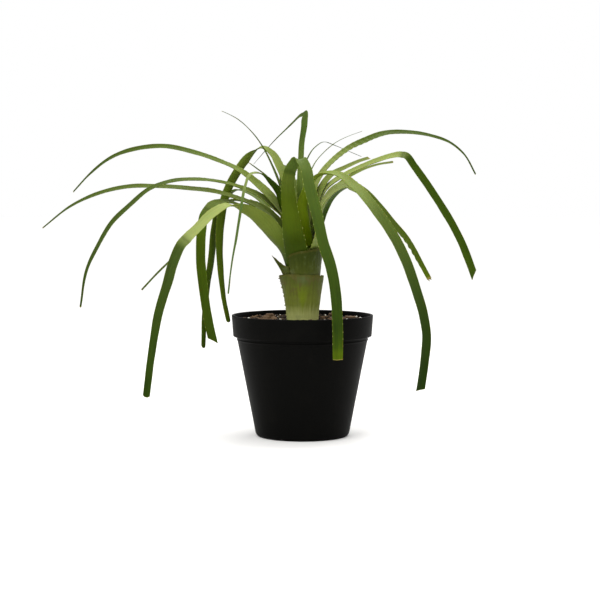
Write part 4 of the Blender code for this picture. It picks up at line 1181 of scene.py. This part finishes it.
# height in mm, then how fast each of two crossed sines runs along x and y, and where it starts
soilWaves = (
    (0.9, (190, 0, 1.0), (0, 170, 0.4)),
    (0.5, (430, 210, 0), (-120, 390, 2.0)),
    (0.28, (900, -700, 0.6), (500, 820, 0)),
    (0.16, (1900, 1300, 0), (-900, 2100, 1.1)),
)


def soilHeight(x, y):
    # lumpy ground: the sum of the crossed waves, metres above the mean level
    height = 0
    for size, first, second in soilWaves:
        crossed = [np.sin(x * wave[0] + y * wave[1] + wave[2]) for wave in (first, second)]
        height = height + size * mm * crossed[0] * crossed[1]
    return height


def soilFinish():
    s = soilFacts
    finish = Finish("pottingSoil", Specular_IOR_Level=0.25)
    place = finish.place()
    lumps = finish.noise(place, scale=420, detail=5, roughness=0.65)
    patches = finish.noise(place, scale=90, detail=3)
    colour = finish.coated(
        s["dark"],
        (lumps.rising(0.38, 0.68), s["brown"]),
        (patches.rising(0.5, 0.7) * 0.35, s["dark"]),
    )
    finish.wear(Base_Color=colour, Roughness=0.86 + lumps * 0.12)
    finish.bump(lumps, 0.8 * mm, 0.9)
    return finish


def makeSoil():
    s, p, stem = soilFacts, potFacts, stemFacts
    socket = stem["radius"] + gap
    wallTop = p["wallTop"] - p["wall"] - gap
    inner = p["base"] - p["wall"] - gap
    rings = np.linspace(s["collarTop"], s["radius"] - 0.5 * mm, s["bands"])
    outline = np.vstack([
        (0, stem["foot"] - gap),
        (socket, stem["foot"] - gap),
        (socket, s["collarFoot"][1]),
        s["collarFoot"],
        np.stack([rings, s["top"] + 0 * rings], -1),
        (s["radius"], s["top"] - 1.5 * mm),
        (s["radius"], s["narrows"]),
        (wallTop, p["height"] - p["bandHeight"] - s["shoulderDrop"]),
        (inner, p["floor"] + gap + s["ballEdge"]),
        (inner - s["ballEdge"], p["floor"] + gap),
        (0, p["floor"] + gap),
    ])
    points, faces = turned(outline, s["steps"])
    level = points[:, 2] == s["top"]
    x, y = points[level, 0], points[level, 1]
    inward = smooth((s["radius"] - np.hypot(x, y)) / (4 * mm))
    points[level, 2] = s["top"] - s["meanDrop"] + soilHeight(x, y) * inward
    makePiece("soilBall", points, faces, soilFinish(), ["soil"])


def fragmentFinish(name, first, second, roughness, stretch):
    # crumbs and chips: two colours that each fragment mixes in its own share, with fine grain
    finish = Finish(name, Specular_IOR_Level=0.3)
    place = finish.place()
    shade = finish.attribute("shade")
    x, y, z = finish.parts(place)
    layered = finish.vector(x * stretch, y * stretch, z * stretch * 2.5)
    grain = finish.noise(layered, detail=4, roughness=0.65)
    colour = finish.coated(
        soilFacts[first],
        ((shade * 0.7 + grain * 0.5 - 0.1).held(), soilFacts[second]),
        ((1 - grain.rising(0.25, 0.45)) * 0.5, soilFacts["dark"]),
    )
    finish.wear(Base_Color=colour, Roughness=roughness + grain * 0.12)
    finish.bump(grain, 0.3 * mm, 0.8)
    return finish


def template(kind):
    # the shape that is repeated: a plain ball of 20 or 80 faces, or a slab with worn corners; triangles come
    # in an order that changes from run to run, so each starts at its lowest point and all are sorted
    shape = bmesh.new()
    if kind == "slab":
        bmesh.ops.create_cube(shape, size=2)
        bmesh.ops.bevel(shape, geom=shape.edges[:], offset=0.28, segments=1, affect="EDGES")
    else:
        bmesh.ops.create_icosphere(shape, subdivisions=1 if kind == "lump" else 2, radius=1)
    bmesh.ops.triangulate(shape, faces=shape.faces[:])
    points = np.array([v.co[:] for v in shape.verts])
    faces = [[v.index for v in face.verts] for face in shape.faces]
    starts = [face.index(min(face)) for face in faces]
    faces = sorted(face[start:] + face[:start] for face, start in zip(faces, starts))
    shape.free()
    return points, np.array(faces)


def turnMatrices(chance, count, lean):
    # a spin about the upright axis, after a small lean about a level one
    spin = chance.uniform(0, 2 * math.pi, count)
    tip = chance.normal(0, lean, count)
    way = chance.uniform(0, 2 * math.pi, count)
    zero, one = np.zeros(count), np.ones(count)

    def about(angle):
        c, s = np.cos(angle), np.sin(angle)
        return np.stack([c, -s, zero, s, c, zero, zero, zero, one], -1).reshape(-1, 3, 3)

    c, s = np.cos(tip), np.sin(tip)
    leaned = np.stack([one, zero, zero, zero, c, -s, zero, s, c], -1).reshape(-1, 3, 3)
    return about(way) @ leaned @ about(spin - way)


def strew(name, kind, count, size, lean, sunk, slot, seed, finish):
    # fragments of one shape, each stretched, roughened, turned and set down in the soil's surface
    chance = np.random.default_rng(seed)
    points, faces = template(kind)
    usual = np.array(size) * mm
    size = chance.lognormal(0, 0.28, (count, 1)) * usual * chance.uniform(0.75, 1.25, (count, 3))
    size = np.minimum(size, 1.8 * usual)
    bent = points * (1 + chance.normal(0, 0.13, (count, len(points), 1)))
    bent = bent * size[:, None]
    bent = np.einsum("cij,cpj->cpi", turnMatrices(chance, count, lean), bent)
    angle = chance.uniform(0, 2 * math.pi, count)
    nearest, reach = soilFacts["strewnFrom"], soilFacts["strewnTo"]
    far = np.sqrt(chance.uniform(nearest**2, (reach - size.max(axis=1)) ** 2))
    x, y = far * np.cos(angle), far * np.sin(angle)
    level = soilFacts["top"] - soilFacts["meanDrop"] + soilHeight(x, y) + size[:, 2] * (1 - sunk)
    placed = bent + np.stack([x, y, level], -1)[:, None]
    placed[..., 2] = np.minimum(placed[..., 2], potFacts["height"] + soilFacts["strewnOverRim"])
    shade = np.repeat(chance.uniform(0, 1, count), len(points))
    joined = (faces[None] + (np.arange(count) * len(points))[:, None, None]).reshape(-1, 3).tolist()
    coat = fragmentFinish(*finish)
    makePiece(name, placed, joined, coat, (), {"shade": shade}, flat=kind != "ball")


# What lies on the soil: half sizes in mm, how far pieces lean in radians, the share that is sunk, and the
# finish as name, two colours, roughness and how fine its grain is
litter = {
    "peatCrumbs": dict(
        kind="lump", count=1500, size=(1.1, 1.0, 0.8), lean=0.9, sunk=0.35, slot="potting_soil", seed=31,
        finish=("peatCrumb", "dark", "brown", 0.85, 700)),
    "barkFlakes": dict(
        kind="slab", count=190, size=(2.4, 1.3, 0.55), lean=0.35, sunk=0.15, slot="bark", seed=32,
        finish=("barkFlake", "tan", "pink", 0.75, 500)),
    "whiteGrit": dict(
        kind="ball", count=120, size=(0.85, 0.8, 0.7), lean=0.9, sunk=0.2, slot="potting_soil", seed=33,
        finish=("whiteGrit", "white", "chalk", 0.85, 900)),
    "rootFibres": dict(
        kind="slab", count=130, size=(4.5, 0.16, 0.14), lean=0.2, sunk=-1.0, slot="potting_soil", seed=34,
        finish=("rootFibre", "tan", "brown", 0.8, 600)),
}


def makeLitter():
    for name, facts in litter.items():
        strew(name, **facts)


# The larger bark chips lie where the frame has them, so their places come from the same rule. sizes are the
# shares of the size that a chip may have, and skew is only drawn, as the frame's solids draw it.

chipFacts = {
    "count": 9,
    "size": (11 * mm, 7 * mm, 3.2 * mm),
    "sizes": (0.75, 1.1),
    "skew": (0.8, 1.0),
    "nearest": 33 * mm,
    "spread": 22 * mm,
    "turn": 0.35,
    "seed": 40,
    "rows": 36,
    "columns": 56,
}


def chipSurface(index):
    # a flattened, squared ball: each direction is pushed out by powers of its sine and cosine, then split
    # into layers by ridges that run along it, and roughened
    c = chipFacts
    chance = np.random.default_rng(c["seed"] + index)
    angle = 2 * math.pi * (index + c["turn"]) / c["count"]
    distance = c["nearest"] + c["spread"] * chance.random()
    size = np.array(c["size"]) * chance.uniform(*c["sizes"], 3)
    for _ in range(8):
        chance.uniform(*c["skew"], 3)
    spin = chance.uniform(0, math.pi)
    a = np.linspace(0, 2 * math.pi, c["columns"], endpoint=False)
    b = np.linspace(-math.pi / 2, math.pi / 2, c["rows"] + 2)[1:-1, None]

    def squared(wave, power):
        return np.sign(wave) * np.abs(wave) ** power

    x = squared(np.cos(b), 0.5) * squared(np.cos(a), 0.55)
    y = squared(np.cos(b), 0.5) * squared(np.sin(a), 0.6)
    z = squared(np.sin(b), 0.6) + 0 * a
    rough = 0.05 * np.sin(5 * x + 3 * y + index) + 0.04 * np.sin(11 * y - 4 * z + 2 * index)
    layers = 0.05 * np.sin(9 * z + 2 * x + index) + 0.03 * np.sin(23 * y + 3 * np.sin(4 * x))
    grown = 0.5 * (1 + rough + layers)
    taper = 1 - 0.16 * x * math.sin(index) - 0.12 * y * math.cos(2 * index)
    local = np.stack([x * grown, y * grown * taper, z * 0.5 * (1 + rough)], -1) * size
    ends = np.array([(0, 0, -0.5), (0, 0, 0.5)]) * size
    local = np.vstack([local.reshape(-1, 3), ends])
    cos, sin = math.cos(spin), math.sin(spin)
    spun = local @ np.array([(cos, sin, 0), (-sin, cos, 0), (0, 0, 1)])
    lies = soilFacts["top"] + gap + size[2] / 2
    points = spun + (distance * math.cos(angle), distance * math.sin(angle), lies)
    rows, columns = c["rows"], c["columns"]
    faces = gridFaces(rows, columns).tolist()
    south, north, last = rows * columns, rows * columns + 1, (rows - 1) * columns
    for i in range(columns):
        after = (i + 1) % columns
        faces.append((after, i, south))
        faces.append((last + i, last + after, north))
    return points, faces, {"shade": np.full(len(points), chance.uniform(0, 1))}


def makeChips():
    finish = fragmentFinish("barkChip", "tan", "pink", 0.72, 420)
    for index in range(chipFacts["count"]):
        points, faces, values = chipSurface(index)
        node = f"bark_chip_{index + 1}"
        makePiece(f"barkChip{index + 1}", points, faces, finish, [node], values)


makeSoil()
makeLitter()
makeChips()
report("soil filled and strewn")


# Floor, light and world

studioFacts = {
    "floorRadius": 14.0,
    "floorSides": 96,
    "mottle": 0.985,
    "floor": tone(244, 243, 241),
    "world": (1.0, 1.0, 1.0),
    "worldStrength": 1.0,
    "sun": 0.6,
    "sunSpread": 50,
    "sunTurn": (38, 0, -30),
    "lamps": (
        ("keyBox", (-0.9, -1.3, 1.5), 1.0, 10),
        ("fillBox", (1.5, -0.9, 0.8), 1.0, 2),
        ("topBox", (0.2, 0.4, 1.6), 0.9, 14),
    ),
    "aim": (0, 0, 0.16),
}


def makeFloor():
    # a plain round sheet at the height that the pot stands on
    finish = Finish("studioFloor", Specular_IOR_Level=0.1)
    mottle = finish.noise(finish.place(), scale=6, detail=2)
    darker = tuple(studioFacts["mottle"] * level for level in studioFacts["floor"])
    finish.wear(Base_Color=finish.mixed(mottle, darker, studioFacts["floor"]), Roughness=0.9)
    angle = np.linspace(0, 2 * math.pi, studioFacts["floorSides"], endpoint=False)
    ring = np.stack([np.cos(angle), np.sin(angle), 0 * angle], -1) * studioFacts["floorRadius"]
    mesh = bpy.data.meshes.new("floor")
    mesh.from_pydata(ring.tolist(), [], [tuple(range(len(angle)))])
    mesh.materials.append(finish.material)
    floor = bpy.data.objects.new("floor", mesh)
    bpy.context.scene.collection.objects.link(floor)


def makeLights():
    for name, place, size, power in studioFacts["lamps"]:
        data = bpy.data.lights.new(name, "AREA")
        data.shape = "SQUARE"
        data.size = size
        data.energy = power
        lamp = bpy.data.objects.new(name, data)
        lamp.location = place
        aim = np.array(studioFacts["aim"]) - np.array(place)
        flat = math.hypot(aim[0], aim[1])
        lamp.rotation_euler = (math.atan2(flat, -aim[2]), 0, math.atan2(-aim[0], aim[1]))
        bpy.context.scene.collection.objects.link(lamp)
    sun = bpy.data.lights.new("softSun", "SUN")
    sun.energy = studioFacts["sun"]
    sun.angle = math.radians(studioFacts["sunSpread"])
    lamp = bpy.data.objects.new("softSun", sun)
    lamp.rotation_euler = [math.radians(angle) for angle in studioFacts["sunTurn"]]
    bpy.context.scene.collection.objects.link(lamp)
    world = bpy.data.worlds.new("studio")
    world.use_nodes = True
    sky = world.node_tree.nodes["Background"]
    sky.inputs["Color"].default_value = (*studioFacts["world"], 1)
    sky.inputs["Strength"].default_value = studioFacts["worldStrength"]
    bpy.context.scene.world = world
    bpy.context.scene.view_settings.view_transform = "Standard"


makeFloor()
makeLights()
report("studio lit")
